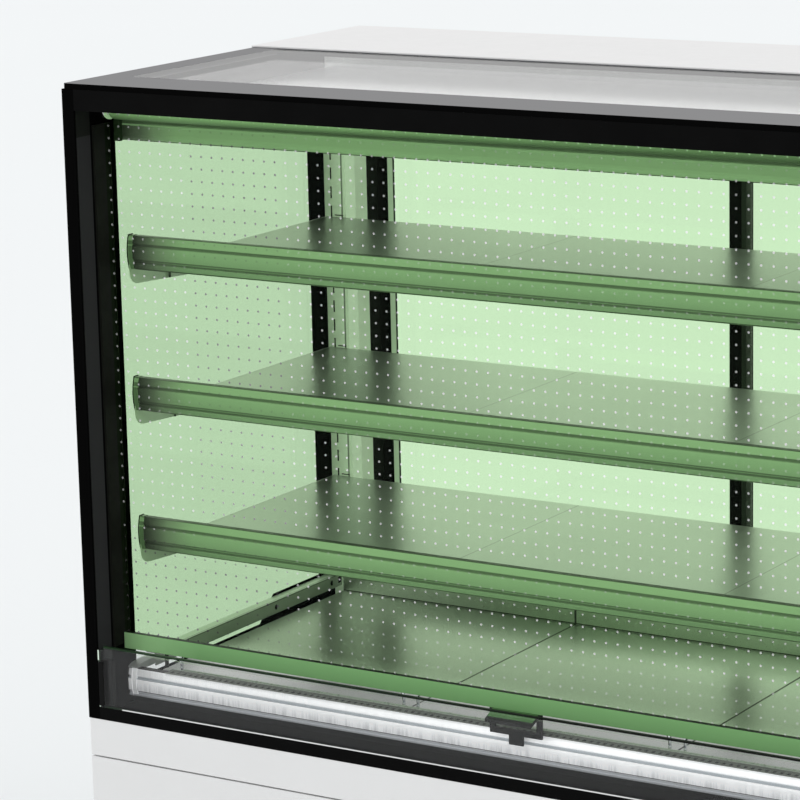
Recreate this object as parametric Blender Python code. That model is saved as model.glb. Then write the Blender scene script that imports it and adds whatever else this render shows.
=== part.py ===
"""A self-service bakery display case with a pull-down night blind, three shelves and sliding rear doors.

Units are metres. The case stands on Z = 0 with its origin under the middle of its bounding box.
Inside the script a place is given from the case's left outer face (x), its front plane (y) and the
floor (z); the empty named case carries those coordinates to the centred origin.
"""

import math

import bmesh
import bpy
from mathutils import Vector

# Driving dimensions of the whole case
WIDTH = 1.400
DEPTH = 0.790
HEIGHT = 1.350
FRAME_TOP = 1.339
FRAME_BOTTOM = 0.399
FIT = 0.0003
SHEET = 0.002

# Glazing
SIDE_GLASS = 0.020
SIDE_GLASS_DEPTH = 0.655
TOP_GLASS = 0.008
TOP_GLASS_DEPTH = 0.478
TOP_GLASS_INSET = 0.003
FRONT_GLASS = 0.006
FRONT_GLASS_TOP = 0.507
FRONT_GLASS_CORNER = 0.010

# Black front frame
BEAM_HEIGHT = 0.0305
BEAM_FLANGE_DEPTH = 0.120
BEAM_WALL = 0.004
SILL_LIP = 0.008
SILL_HEIGHT = 0.019

# Rear top cover
COVER_FRONT = 0.482
COVER_REAR_FLANGE = 0.056

# Canopy under the top glass
CANOPY_FRONT = 0.101
CANOPY_BOTTOM = 1.2523
CANOPY_ROOF = 1.296
CANOPY_LIP = 0.016
CANOPY_CORNER = 0.012

# Shelves and their price rails
SHELF_SIDE_GAP = 0.028
SHELF_COUNT = 3
TOP_RAIL_HEIGHT = 1.1122
SHELF_PITCH = 0.2126
RAIL_HEIGHT = 0.0495
RAIL_DEPTH = 0.014
RAIL_FRONT = 0.104
RAIL_BULGE = 0.0045
RAIL_GROOVE = 0.0026
DECK_BELOW_RAIL = 0.0503
SHELF_BACK = 0.6375
SHELF_FRONT_FLANGE = 0.040
SHELF_BACK_FLANGE = 0.018
BRACKET_FRONT_DROP = 0.0235
BRACKET_REAR_DROP = 0.054
BRACKET_CORNER = 0.018
BRACKET_BACK = 0.6392

# Slotted uprights
UPRIGHT_LEFT = 0.023
UPRIGHT_WIDTH = 0.040
UPRIGHT_FRONT = 0.640
UPRIGHT_DEPTH = 0.028
SLOT_PITCH = 0.0308
SLOT_HEIGHT = 0.019
SLOT_WIDTH = 0.003
SLOT_INSET = 0.0125
SLOT_START = 0.475
SLOT_COUNT = 25

# Lower display deck
DECK_TOP = 0.448
TRAY_COUNT = 3
TRAY_SIDE_GAP = 0.050
TRAY_JOINT = 0.0008
TRAY_FRONT = 0.121
TRAY_BACK = 0.625
TRAY_UPSTAND = 0.045
FENCE_WIRE = 0.0025
FENCE_RISE = 0.025
FENCE_BEND = 0.008
FENCE_START_GAP = 0.016
FENCE_END_GAP = 0.008
FENCE_OUTER_GAP = 0.031
FENCE_PLACE = 0.128
SIDE_RAIL_TOP = 0.4733
SIDE_RAIL_FACE = 0.021
SIDE_RAIL_REACH = 0.0175
NOSE_FRONT = 0.072
NOSE_TOP = 0.460
GRILLE_TOP = 0.4410

# Night blind
FILM_PLACE = 0.0652
FILM_THICKNESS = 0.0005
FILM_SIDE_GAP = 0.0244
HEM_TOP = 0.5187
HEM_HEIGHT = 0.025
HEM_THICKNESS = 0.007
HEM_PLACE = 0.0625
ROLLER_RADIUS = 0.0175
ROLLER_PLACE = 0.0835
ROLLER_HEIGHT = 1.304
ROLLER_SIDE_GAP = 0.030
JOURNAL_RADIUS = 0.005
HANDLE_WIDTH = 0.084
HANDLE_DROP = 0.036
HANDLE_BAR = 0.0085
HANDLE_STEM_WIDTH = 0.023
HANDLE_STEM_DROP = 0.014
HANDLE_PLATE = 0.004
HANDLE_GRIP_REACH = 0.022
HANDLE_GRIP_WIDTH = 0.074

# Rear frame and sliding doors
POST_WIDTH = 0.0576
REAR_FRAME_FRONT = 0.711
REAR_FRAME_WALL = 0.030
REAR_FRAME_BOTTOM = 0.4555
DOOR_OPENING_BOTTOM = 0.498
DOOR_OPENING_TOP = 1.262
DOOR_BOTTOM = 0.4940
DOOR_TOP = 1.2680
DOOR_THICKNESS = 0.016
DOOR_PLANES = (0.752, 0.770)
DOOR_EDGE = 0.042
DOOR_WIDTH = 0.6745
STILE = 0.0285
DOOR_RAIL = 0.030
DOOR_GLASS = 0.006
REAR_EDGE_POST = 0.028

# Base
FOOT_HEIGHT = 0.060
FOOT_RADIUS = 0.025
FOOT_STEM = 0.008
FOOT_PAD = 0.010
FOOT_INSET_X = 0.060
FOOT_INSET_Y = 0.070
BASE_TUBE = 0.040
FLOOR_PLATE = 0.002
FLOOR_PLATE_DROP = 0.001
CROSS_MEMBER_GAP = 0.002
FASCIA_THICKNESS = 0.018
FASCIA_BOTTOM = 0.3417
LOWER_PANEL_TOP = 0.3392
PANEL_BOTTOM = 0.062
FRONT_PANEL_INSET = 0.002
REAR_PANEL_FRONT = 0.764
REAR_PANEL_THICKNESS = 0.020
REAR_PANEL_TOP = 0.4540
LOUVRE_BANKS = (0.170, 0.305, 0.440, 0.705, 0.840)
LOUVRE_COUNT = 7
LOUVRE_PITCH = 0.022
LOUVRE_HEIGHT = 0.008
LOUVRE_WIDTH = 0.120
TUB_FRONT = 0.104
TUB_BACK = 0.705
TUB_REAR_SHOULDER = 0.085
TUB_BOTTOM = 0.285
TUB_TOP = 0.430
TUB_WALL = 0.020

# Refrigeration and electrics
COMPRESSOR_RADIUS = 0.078
COMPRESSOR_PLACE = (0.250, 0.420)
CONDENSER = (0.360, 0.700, 0.150, 0.190, 0.264)
CONDENSER_FAN_PLACE = (0.530, 0.250, 0.184)
EVAPORATOR = (0.150, 1.250, 0.360, 0.480, 0.3055, 0.405)
EVAPORATOR_FAN_PLACE = (0.700, 0.250, 0.360)
FAN_RADIUS = 0.072
EVAPORATOR_FAN_RADIUS = 0.045
FAN_HUB = 0.018
FAN_BLADES = 5
FAN_DEPTH = 0.30
CONTROL_BOX = (1.080, 1.330, 0.640, 0.7635, 0.230, 0.2847)
MOTOR_RADIUS = 0.016
SWITCH_PLACE = (1.220, 0.385)
SWITCH_SIZE = (0.024, 0.034)
SWITCH_PIVOT_DEPTH = 0.004
SWITCH_TILT = 8.0


def clear_scene():
    """Empty the scene without closing the file that this script runs from."""
    for obj in list(bpy.data.objects):
        bpy.data.objects.remove(obj, do_unlink=True)


def make_material(name, colour, roughness, metallic=0.0, alpha=1.0):
    """A plain Principled material."""
    material = bpy.data.materials.new(name)
    material.use_nodes = True
    shader = material.node_tree.nodes["Principled BSDF"]
    shader.inputs["Base Color"].default_value = (*colour, 1.0)
    shader.inputs["Roughness"].default_value = roughness
    shader.inputs["Metallic"].default_value = metallic
    shader.inputs["Alpha"].default_value = alpha
    return material


def make_materials():
    """Every finish of the case, by name."""
    return {
        "white_paint": make_material("white_paint", (0.78, 0.78, 0.78), 0.5),
        "grey_paint": make_material("grey_paint", (0.45, 0.46, 0.46), 0.4),
        "black_paint": make_material("black_paint", (0.010, 0.010, 0.011), 0.35),
        "glass": make_material("glass", (0.85, 0.93, 0.89), 0.03, alpha=0.3),
        "steel": make_material("steel", (0.50, 0.51, 0.51), 0.35, 1.0),
        "aluminium": make_material("aluminium", (0.75, 0.76, 0.77), 0.3, 1.0),
        "chrome": make_material("chrome", (0.85, 0.86, 0.87), 0.08, 1.0),
        "black_plastic": make_material("black_plastic", (0.02, 0.02, 0.02), 0.4),
        "blind_film": make_material("blind_film", (0.45, 0.72, 0.42), 0.25, alpha=0.35),
        "lamp": make_material("lamp", (0.95, 0.95, 0.92), 0.4),
        "copper": make_material("copper", (0.72, 0.36, 0.20), 0.3, 1.0),
        "foam": make_material("foam", (0.30, 0.31, 0.32), 0.6),
    }


def add_empty(name, place, parent=None):
    """An empty that carries pieces."""
    empty = bpy.data.objects.new(name, None)
    bpy.context.scene.collection.objects.link(empty)
    empty.parent = parent
    empty.location = place
    return empty


def add_piece(name, bm, material, carrier, pivot=(0.0, 0.0, 0.0), smooth=False):
    """Turn a bmesh in case coordinates into an object whose origin is at pivot."""
    bmesh.ops.recalc_face_normals(bm, faces=bm.faces)
    bmesh.ops.translate(bm, verts=bm.verts, vec=-Vector(pivot))
    mesh = bpy.data.meshes.new(name)
    bm.to_mesh(mesh)
    bm.free()
    if smooth:
        mesh.shade_smooth()
        mesh.set_sharp_from_angle(angle=math.radians(35))
    if material:
        mesh.materials.append(material)
    piece = bpy.data.objects.new(name, mesh)
    bpy.context.scene.collection.objects.link(piece)
    piece.parent = carrier
    piece.location = Vector(pivot) - carrier_place(carrier)
    return piece


def carrier_place(carrier):
    """Where a carrier stands in case coordinates; the case empty is their origin."""
    place = Vector((0.0, 0.0, 0.0))
    while carrier.parent:
        place += carrier.location
        carrier = carrier.parent
    return place


def point_on(axis, along, across):
    """A point from its place along an axis and its two coordinates across it, in x, y, z order."""
    values = list(across)
    values.insert("XYZ".index(axis), along)
    return values


def prism_mesh(outline, axis, start, end):
    """A closed outline, given across an axis, extruded along that axis."""
    bm = bmesh.new()
    low = [bm.verts.new(point_on(axis, start, p)) for p in outline]
    high = [bm.verts.new(point_on(axis, end, p)) for p in outline]
    bm.faces.new(low)
    bm.faces.new(list(reversed(high)))
    count = len(outline)
    for i in range(count):
        j = (i + 1) % count
        bm.faces.new((low[j], low[i], high[i], high[j]))
    return bm


def ring_mesh(outer, inner, axis, start, end):
    """A rectangular frame: the outer and inner rectangles are (low, low, high, high) across the axis."""

    def corners(box):
        return [(box[0], box[1]), (box[2], box[1]), (box[2], box[3]), (box[0], box[3])]

    bm = bmesh.new()
    loops = []
    for box in (outer, inner):
        for along in (start, end):
            loops.append([bm.verts.new(point_on(axis, along, p)) for p in corners(box)])
    outer_low, outer_high, inner_low, inner_high = loops
    for i in range(4):
        j = (i + 1) % 4
        bm.faces.new((outer_low[i], outer_low[j], outer_high[j], outer_high[i]))
        bm.faces.new((inner_low[j], inner_low[i], inner_high[i], inner_high[j]))
        bm.faces.new((outer_low[j], outer_low[i], inner_low[i], inner_low[j]))
        bm.faces.new((outer_high[i], outer_high[j], inner_high[j], inner_high[i]))
    return bm


def box_mesh(x0, x1, y0, y1, z0, z1):
    """A block between two corners."""
    return prism_mesh([(x0, y0), (x1, y0), (x1, y1), (x0, y1)], "Z", z0, z1)


def turned_mesh(profile, centre, axis="Z", steps=24):
    """A solid turned about an axis through centre. The profile is (radius, along) from end to end."""
    bm = bmesh.new()
    index = "XYZ".index(axis)
    rings = []
    for radius, along in profile:
        ring = []
        for k in range(1 if radius == 0 else steps):
            angle = 2 * math.pi * k / steps
            across = [radius * math.cos(angle), radius * math.sin(angle)]
            across.insert(index, along)
            ring.append(bm.verts.new(Vector(centre) + Vector(across)))
        rings.append(ring)
    for lower, upper in zip(rings, rings[1:]):
        for k in range(steps):
            m = (k + 1) % steps
            corners = [lower[k % len(lower)], lower[m % len(lower)]]
            corners += [upper[m % len(upper)], upper[k % len(upper)]]
            bm.faces.new(list(dict.fromkeys(corners)))
    return bm


def arc(centre, radius, start, end, steps):
    """Points of a circular arc, angles in degrees."""
    points = []
    for k in range(steps + 1):
        angle = math.radians(start + (end - start) * k / steps)
        points.append((centre[0] + radius * math.cos(angle), centre[1] + radius * math.sin(angle)))
    return points


def rounded_rectangle(x0, x1, z0, z1, low_radius, high_radius, steps=4):
    """A rectangle whose lower and upper corners may be rounded."""
    points = []
    corners = (
        (x1, z0, low_radius, -90, -1, 1),
        (x1, z1, high_radius, 0, -1, -1),
        (x0, z1, high_radius, 90, 1, -1),
        (x0, z0, low_radius, 180, 1, 1),
    )
    for x, z, radius, start, side, rise in corners:
        if radius:
            points += arc((x + side * radius, z + rise * radius), radius, start, start + 90, steps)
        else:
            points.append((x, z))
    return points


def join_by_boolean(target, tools, operation):
    """Add or cut helper solids with Boolean modifiers; the helpers stay as wires."""
    for tool in tools:
        tool.hide_render = True
        tool.display_type = "WIRE"
        modifier = target.modifiers.new(tool.name, "BOOLEAN")
        modifier.operation = operation
        modifier.object = tool
    return target


def mirrored_pair(build):
    """Build a piece on the left and its mirror image on the right."""
    for side, flip in (("left", lambda x: x), ("right", lambda x: WIDTH - x)):
        build(side, flip)


def base_frame(case, finish):
    """Welded ring of square tube with two cross members and a floor plate for the machinery."""
    low = FOOT_HEIGHT + FIT
    high = low + BASE_TUBE
    left, front = SIDE_GLASS + FIT, FASCIA_THICKNESS + FIT
    right, back = WIDTH - left, REAR_PANEL_FRONT - 0.0005
    ring = ring_mesh(
        (left, front, right, back),
        (left + BASE_TUBE, front + BASE_TUBE, right - BASE_TUBE, back - BASE_TUBE),
        "Z",
        low,
        high,
    )
    frame = add_piece("base_frame", ring, finish["black_paint"], case)
    reach = BASE_TUBE / 2
    additions = []
    for number, middle in enumerate((WIDTH / 3, WIDTH * 2 / 3)):
        bm = box_mesh(
            middle - BASE_TUBE / 2,
            middle + BASE_TUBE / 2,
            front + reach,
            back - reach,
            low + CROSS_MEMBER_GAP,
            high - CROSS_MEMBER_GAP,
        )
        additions.append(add_piece(f"helper_member_{number}", bm, None, case))
    plate_top = high - FLOOR_PLATE_DROP
    plate = box_mesh(
        left + reach,
        right - reach,
        front + reach + 0.001,
        back - reach - 0.001,
        plate_top - FLOOR_PLATE,
        plate_top,
    )
    additions.append(add_piece("helper_floor_plate", plate, None, case))
    join_by_boolean(frame, additions, "UNION")


def feet(case, finish):
    """Four levelling feet: a round pad and a threaded stem, each turning about its own axis."""
    places = {
        "foot_front_left": (FOOT_INSET_X, FOOT_INSET_Y),
        "foot_front_right": (WIDTH - FOOT_INSET_X, FOOT_INSET_Y),
        "foot_rear_left": (FOOT_INSET_X, DEPTH - FOOT_INSET_Y),
        "foot_rear_right": (WIDTH - FOOT_INSET_X, DEPTH - FOOT_INSET_Y),
    }
    profile = [
        (0.0, 0.0),
        (FOOT_RADIUS, 0.0),
        (FOOT_RADIUS, FOOT_PAD * 0.6),
        (FOOT_RADIUS * 0.6, FOOT_PAD),
        (FOOT_STEM * 1.6, FOOT_PAD),
        (FOOT_STEM * 1.6, FOOT_PAD * 2),
        (FOOT_STEM, FOOT_PAD * 2),
        (FOOT_STEM, FOOT_HEIGHT),
        (0.0, FOOT_HEIGHT),
    ]
    for name, (x, y) in places.items():
        bm = turned_mesh(profile, (x, y, 0.0), steps=20)
        add_piece(name, bm, finish["black_plastic"], case, pivot=(x, y, 0.0), smooth=True)


def base_panels(case, finish):
    """White fascia strip and lower panel in front, and a sandwich panel on each side."""
    left = FRONT_PANEL_INSET
    right = WIDTH - FRONT_PANEL_INSET
    fascia = box_mesh(left, right, 0.0, FASCIA_THICKNESS, FASCIA_BOTTOM, FRAME_BOTTOM - FIT)
    add_piece("front_fascia", fascia, finish["white_paint"], case)
    lower = box_mesh(left, right, 0.0, FASCIA_THICKNESS, PANEL_BOTTOM, LOWER_PANEL_TOP)
    add_piece("front_lower_panel", lower, finish["white_paint"], case)

    def side_panel(side, flip):
        bm = box_mesh(
            flip(0.0),
            flip(SIDE_GLASS),
            FASCIA_THICKNESS + FIT,
            DEPTH,
            PANEL_BOTTOM,
            FRAME_BOTTOM - FIT,
        )
        add_piece(f"side_panel_{side}", bm, finish["white_paint"], case)

    mirrored_pair(side_panel)


def rear_service_panel(case, finish):
    """Rear panel with banks of louvre slots and the switch window."""
    bm = box_mesh(
        SIDE_GLASS + FIT,
        WIDTH - SIDE_GLASS - FIT,
        REAR_PANEL_FRONT,
        REAR_PANEL_FRONT + REAR_PANEL_THICKNESS,
        PANEL_BOTTOM,
        REAR_PANEL_TOP,
    )
    panel = add_piece("rear_service_panel", bm, finish["white_paint"], case)
    through = (REAR_PANEL_FRONT - 0.01, REAR_PANEL_FRONT + REAR_PANEL_THICKNESS + 0.01)
    slots = bmesh.new()
    for start in LOUVRE_BANKS:
        for row in range(LOUVRE_COUNT):
            low = PANEL_BOTTOM + 0.050 + row * LOUVRE_PITCH
            append_mesh(
                slots,
                box_mesh(
                    start,
                    start + LOUVRE_WIDTH,
                    *through,
                    low,
                    low + LOUVRE_HEIGHT,
                ),
            )
    half_w, half_h = (size / 2 + 0.001 for size in SWITCH_SIZE)
    x, z = SWITCH_PLACE
    append_mesh(slots, box_mesh(x - half_w, x + half_w, *through, z - half_h, z + half_h))
    join_by_boolean(panel, [add_piece("helper_louvres", slots, None, case)], "DIFFERENCE")


def append_mesh(target, extra):
    """Copy one bmesh into another as a further body."""
    mesh = bpy.data.meshes.new("scratch")
    extra.to_mesh(mesh)
    extra.free()
    target.from_mesh(mesh)
    bpy.data.meshes.remove(mesh)


def base_tub(case, finish):
    """Insulated tub under the trays, open at the top, with a deep shoulder behind the hollow."""
    left = SIDE_GLASS + FIT
    bm = box_mesh(left, WIDTH - left, TUB_FRONT, TUB_BACK, TUB_BOTTOM, TUB_TOP)
    tub = add_piece("base_tub", bm, finish["foam"], case)
    hollow = box_mesh(
        left + TUB_WALL,
        WIDTH - left - TUB_WALL,
        TUB_FRONT + TUB_WALL,
        TUB_BACK - TUB_REAR_SHOULDER,
        TUB_BOTTOM + TUB_WALL,
        TUB_TOP + 0.05,
    )
    join_by_boolean(tub, [add_piece("helper_tub_hollow", hollow, None, case)], "DIFFERENCE")


def glazing(case, finish):
    """Insulated side glass, top glass slab and the low front glass."""

    def side_glass(side, flip):
        bm = box_mesh(flip(0.0), flip(SIDE_GLASS), 0.0, SIDE_GLASS_DEPTH, FRAME_BOTTOM, FRAME_TOP)
        add_piece(f"side_glass_{side}", bm, finish["glass"], case)

    mirrored_pair(side_glass)

    low = FRAME_TOP + FIT
    slab = prism_mesh(
        rounded_rectangle(
            TOP_GLASS_INSET,
            WIDTH - TOP_GLASS_INSET,
            0.0,
            TOP_GLASS_DEPTH,
            0.004,
            0.0,
        ),
        "Z",
        low,
        low + TOP_GLASS,
    )
    add_piece("top_glass", slab, finish["glass"], case)

    edge = SIDE_GLASS + 0.0006
    front = prism_mesh(
        rounded_rectangle(
            edge,
            WIDTH - edge,
            FRAME_BOTTOM + SILL_HEIGHT + FIT,
            FRONT_GLASS_TOP,
            0.0,
            FRONT_GLASS_CORNER,
        ),
        "Y",
        0.0005,
        0.0005 + FRONT_GLASS,
    )
    add_piece("front_glass", front, finish["glass"], case)


def front_frame(case, finish):
    """Black beam over the opening and black sill under it, both bent sections."""
    left = SIDE_GLASS + FIT
    right = WIDTH - SIDE_GLASS - FIT
    bottom = FRAME_TOP - BEAM_HEIGHT
    beam = [
        (0.0, bottom),
        (BEAM_WALL, bottom),
        (BEAM_WALL, FRAME_TOP - BEAM_WALL),
        (BEAM_FLANGE_DEPTH, FRAME_TOP - BEAM_WALL),
        (BEAM_FLANGE_DEPTH, FRAME_TOP),
        (0.0, FRAME_TOP),
    ]
    add_piece("front_beam", prism_mesh(beam, "X", left, right), finish["black_paint"], case)
    top = FRAME_BOTTOM + SILL_HEIGHT
    floor = FRAME_BOTTOM + BEAM_WALL
    depth = TUB_FRONT - FIT
    sill = [
        (0.0, FRAME_BOTTOM),
        (depth, FRAME_BOTTOM),
        (depth, floor),
        (SILL_LIP, floor),
        (SILL_LIP, top),
        (0.0, top),
    ]
    add_piece("front_sill", prism_mesh(sill, "X", left, right), finish["black_paint"], case)


def rear_top_cover(case, finish):
    """Folded sheet over the rear of the top, with a front lip and a rear flange."""
    bottom = FRAME_TOP + FIT
    back = DEPTH
    outline = [
        (COVER_FRONT, bottom),
        (COVER_FRONT + SHEET, bottom),
        (COVER_FRONT + SHEET, HEIGHT - SHEET),
        (back - SHEET, HEIGHT - SHEET),
        (back - SHEET, HEIGHT - COVER_REAR_FLANGE),
        (back, HEIGHT - COVER_REAR_FLANGE),
        (back, HEIGHT),
        (COVER_FRONT, HEIGHT),
    ]
    add_piece("rear_top_cover", prism_mesh(outline, "X", 0.0, WIDTH), finish["white_paint"], case)


def canopy(case, finish):
    """Ceiling panel with a rounded front apron and a return lip, and the lamp under it."""
    front, low, roof = CANOPY_FRONT, CANOPY_BOTTOM, CANOPY_ROOF
    inner, radius = front + SHEET, CANOPY_CORNER
    back = REAR_FRAME_FRONT - FIT
    outside = arc((front + radius, low + radius), radius, 270, 180, 5)
    inside = arc((front + radius, low + radius), radius - SHEET, 180, 270, 5)
    outline = (
        [(front + CANOPY_LIP, low)]
        + outside
        + [(front, roof + SHEET), (back, roof + SHEET), (back, roof), (inner, roof)]
        + inside
        + [(front + CANOPY_LIP, low + SHEET)]
    )
    left = SIDE_GLASS + FIT
    add_piece("canopy", prism_mesh(outline, "X", left, WIDTH - left), finish["grey_paint"], case)
    lamp = box_mesh(0.040, WIDTH - 0.040, 0.122, 0.146, roof - 0.0143, roof - FIT)
    add_piece("led_lamp", lamp, finish["lamp"], case)


def rail_outline(front, top):
    """Section of a price rail: top lip, groove, label face, groove, bottom lip and flat back."""
    bands = (
        (0.0, 0.222, 0.0),
        (0.222, 0.312, 1.0),
        (0.312, 0.697, 0.25),
        (0.697, 0.820, 1.0),
        (0.820, 1.0, 0.0),
    )
    points = []
    for start, end, depth in bands:
        steps = 2 if depth == 1.0 else 4
        for k in range(steps + 1):
            t = start + (end - start) * k / steps
            bow = RAIL_BULGE * (2 * t - 1) ** 2
            hollow = 0.3 * RAIL_GROOVE * math.sin(math.pi * k / steps) if depth == 0.25 else 0.0
            cut = RAIL_GROOVE if depth == 1.0 else hollow
            points.append((front + bow + cut, top - t * RAIL_HEIGHT))
    back = front + RAIL_DEPTH
    return points + [(back, top - RAIL_HEIGHT), (back, top)]


def shelf(case, finish, number):
    """One shelf: its deck, two side brackets and the price rail in front of it."""
    top = TOP_RAIL_HEIGHT - SHELF_PITCH * (number - 1)
    deck = top - DECK_BELOW_RAIL
    left = SHELF_SIDE_GAP
    flange = RAIL_FRONT + RAIL_DEPTH + FIT

    outline = [
        (flange, deck + SHELF_FRONT_FLANGE),
        (flange, deck - SHEET),
        (SHELF_BACK - SHEET, deck - SHEET),
        (SHELF_BACK - SHEET, deck - SHELF_BACK_FLANGE),
        (SHELF_BACK, deck - SHELF_BACK_FLANGE),
        (SHELF_BACK, deck),
        (flange + SHEET, deck),
        (flange + SHEET, deck + SHELF_FRONT_FLANGE),
    ]
    inset = left + SHEET + FIT
    bm = prism_mesh(outline, "X", inset, WIDTH - inset)
    add_piece(f"shelf_deck_{number}", bm, finish["grey_paint"], case)

    rail = prism_mesh(rail_outline(RAIL_FRONT, top), "X", inset, WIDTH - inset)
    add_piece(f"price_rail_{number}", rail, finish["aluminium"], case)

    def bracket(side, flip):
        corner = BRACKET_CORNER
        lowest = deck - BRACKET_FRONT_DROP
        heights = [top - RAIL_HEIGHT * k / 4 for k in range(4)]
        front_edge = []
        for z in heights:
            t = (top - z) / RAIL_HEIGHT
            front_edge.append((RAIL_FRONT + RAIL_BULGE * (2 * t - 1) ** 2, z))
        nose = arc((RAIL_FRONT + 0.003 + corner, lowest + corner), corner, 180, 262, 5)
        plate = (
            [(RAIL_FRONT + RAIL_DEPTH, top)]
            + front_edge
            + nose
            + [
                (BRACKET_BACK, deck - BRACKET_REAR_DROP),
                (BRACKET_BACK, deck),
                (flange + SHEET, deck),
            ]
        )
        bm = prism_mesh(plate, "X", flip(left), flip(left + SHEET))
        add_piece(f"shelf_bracket_{number}_{side}", bm, finish["grey_paint"], case)

    mirrored_pair(bracket)


def uprights(case, finish):
    """Channel section uprights whose front flange has a column of slots for the brackets."""

    def upright(side, flip):
        x0, x1 = UPRIGHT_LEFT, UPRIGHT_LEFT + UPRIGHT_WIDTH
        y0, y1 = UPRIGHT_FRONT, UPRIGHT_FRONT + UPRIGHT_DEPTH
        section = [
            (x0, y0),
            (x1, y0),
            (x1, y1),
            (x1 - SHEET, y1),
            (x1 - SHEET, y0 + SHEET),
            (x0 + SHEET, y0 + SHEET),
            (x0 + SHEET, y1),
            (x0, y1),
        ]
        section = [(flip(x), y) for x, y in section]
        bm = prism_mesh(section, "Z", TUB_TOP + FIT, CANOPY_ROOF - FIT)
        channel = add_piece(f"upright_{side}", bm, finish["grey_paint"], case)
        slots = bmesh.new()
        middle = x0 + SLOT_INSET
        for k in range(SLOT_COUNT):
            low = SLOT_START + k * SLOT_PITCH
            append_mesh(
                slots,
                box_mesh(
                    flip(middle - SLOT_WIDTH / 2),
                    flip(middle + SLOT_WIDTH / 2),
                    y0 - SHEET,
                    y0 + 2 * SHEET,
                    low,
                    low + SLOT_HEIGHT,
                ),
            )
        join_by_boolean(channel, [add_piece(f"helper_slots_{side}", slots, None, case)], "DIFFERENCE")

    mirrored_pair(upright)


def lower_deck(case, finish):
    """Trays with rear upstands, a wire fence on each, side rails, the nose rail and the air grille."""
    span = (WIDTH - 2 * TRAY_SIDE_GAP) / TRAY_COUNT
    top, low = DECK_TOP, DECK_TOP - SHEET
    foot = TUB_TOP + FIT
    outline = [
        (TRAY_FRONT, top),
        (TRAY_FRONT, foot),
        (TRAY_FRONT + SHEET, foot),
        (TRAY_FRONT + SHEET, low),
        (TRAY_BACK - SHEET, low),
        (TRAY_BACK - SHEET, foot),
        (TRAY_BACK, foot),
        (TRAY_BACK, top + TRAY_UPSTAND),
        (TRAY_BACK - SHEET, top + TRAY_UPSTAND),
        (TRAY_BACK - SHEET, top),
    ]
    for number in range(1, TRAY_COUNT + 1):
        start = TRAY_SIDE_GAP + (number - 1) * span
        end = start + span
        bm = prism_mesh(outline, "X", start + TRAY_JOINT / 2, end - TRAY_JOINT / 2)
        add_piece(f"deck_tray_{number}", bm, finish["steel"], case)
        first = FENCE_OUTER_GAP if number == 1 else FENCE_START_GAP
        last = FENCE_OUTER_GAP if number == TRAY_COUNT else FENCE_END_GAP
        wire_fence(case, finish, number, start + first, end - last)

    def side_rail(side, flip):
        x0, x1 = SIDE_GLASS + FIT, SIDE_GLASS + FIT + SIDE_RAIL_REACH
        section = [
            (x0, SIDE_RAIL_TOP),
            (x0, SIDE_RAIL_TOP - SHEET),
            (x1 - SHEET, SIDE_RAIL_TOP - SHEET),
            (x1 - SHEET, SIDE_RAIL_TOP - SIDE_RAIL_FACE),
            (x1, SIDE_RAIL_TOP - SIDE_RAIL_FACE),
            (x1, SIDE_RAIL_TOP),
        ]
        section = [(flip(x), z) for x, z in section]
        bm = prism_mesh(section, "Y", TRAY_FRONT, UPRIGHT_FRONT - 0.002)
        add_piece(f"side_rail_{side}", bm, finish["grey_paint"], case)

    mirrored_pair(side_rail)

    edge = SIDE_GLASS + 0.001
    nose = prism_mesh(rail_outline(NOSE_FRONT, NOSE_TOP), "X", edge, WIDTH - edge)
    add_piece("nose_rail", nose, finish["aluminium"], case)

    front = NOSE_FRONT + RAIL_DEPTH + FIT
    back = TRAY_FRONT - FIT
    sill_floor = FRAME_BOTTOM + BEAM_WALL + FIT
    grille = [
        (front, GRILLE_TOP),
        (front, sill_floor),
        (front + SHEET, sill_floor),
        (front + SHEET, GRILLE_TOP - SHEET),
        (back - SHEET, GRILLE_TOP - SHEET),
        (back - SHEET, foot),
        (back, foot),
        (back, GRILLE_TOP),
    ]
    add_piece("air_grille", prism_mesh(grille, "X", edge, WIDTH - edge), finish["grey_paint"], case)


def wire_fence(case, finish, number, start, end):
    """A low fence of bent wire standing at the front of a tray."""
    foot = DECK_TOP + FIT
    top = foot + FENCE_RISE
    bend = FENCE_BEND
    path = [(start, foot)]
    path += arc((start + bend, top - bend), bend, 180, 90, 4)
    path += arc((end - bend, top - bend), bend, 90, 0, 4)
    path += [(end, foot)]
    curve = bpy.data.curves.new(f"wire_fence_{number}", "CURVE")
    curve.dimensions = "3D"
    curve.bevel_depth = FENCE_WIRE
    curve.bevel_resolution = 2
    curve.use_fill_caps = True
    spline = curve.splines.new("POLY")
    spline.points.add(len(path) - 1)
    for point, (x, z) in zip(spline.points, path):
        point.co = (x, FENCE_PLACE, z, 1.0)
    curve.materials.append(finish["chrome"])
    fence = bpy.data.objects.new(f"wire_fence_{number}", curve)
    bpy.context.scene.collection.objects.link(fence)
    fence.parent = case


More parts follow.
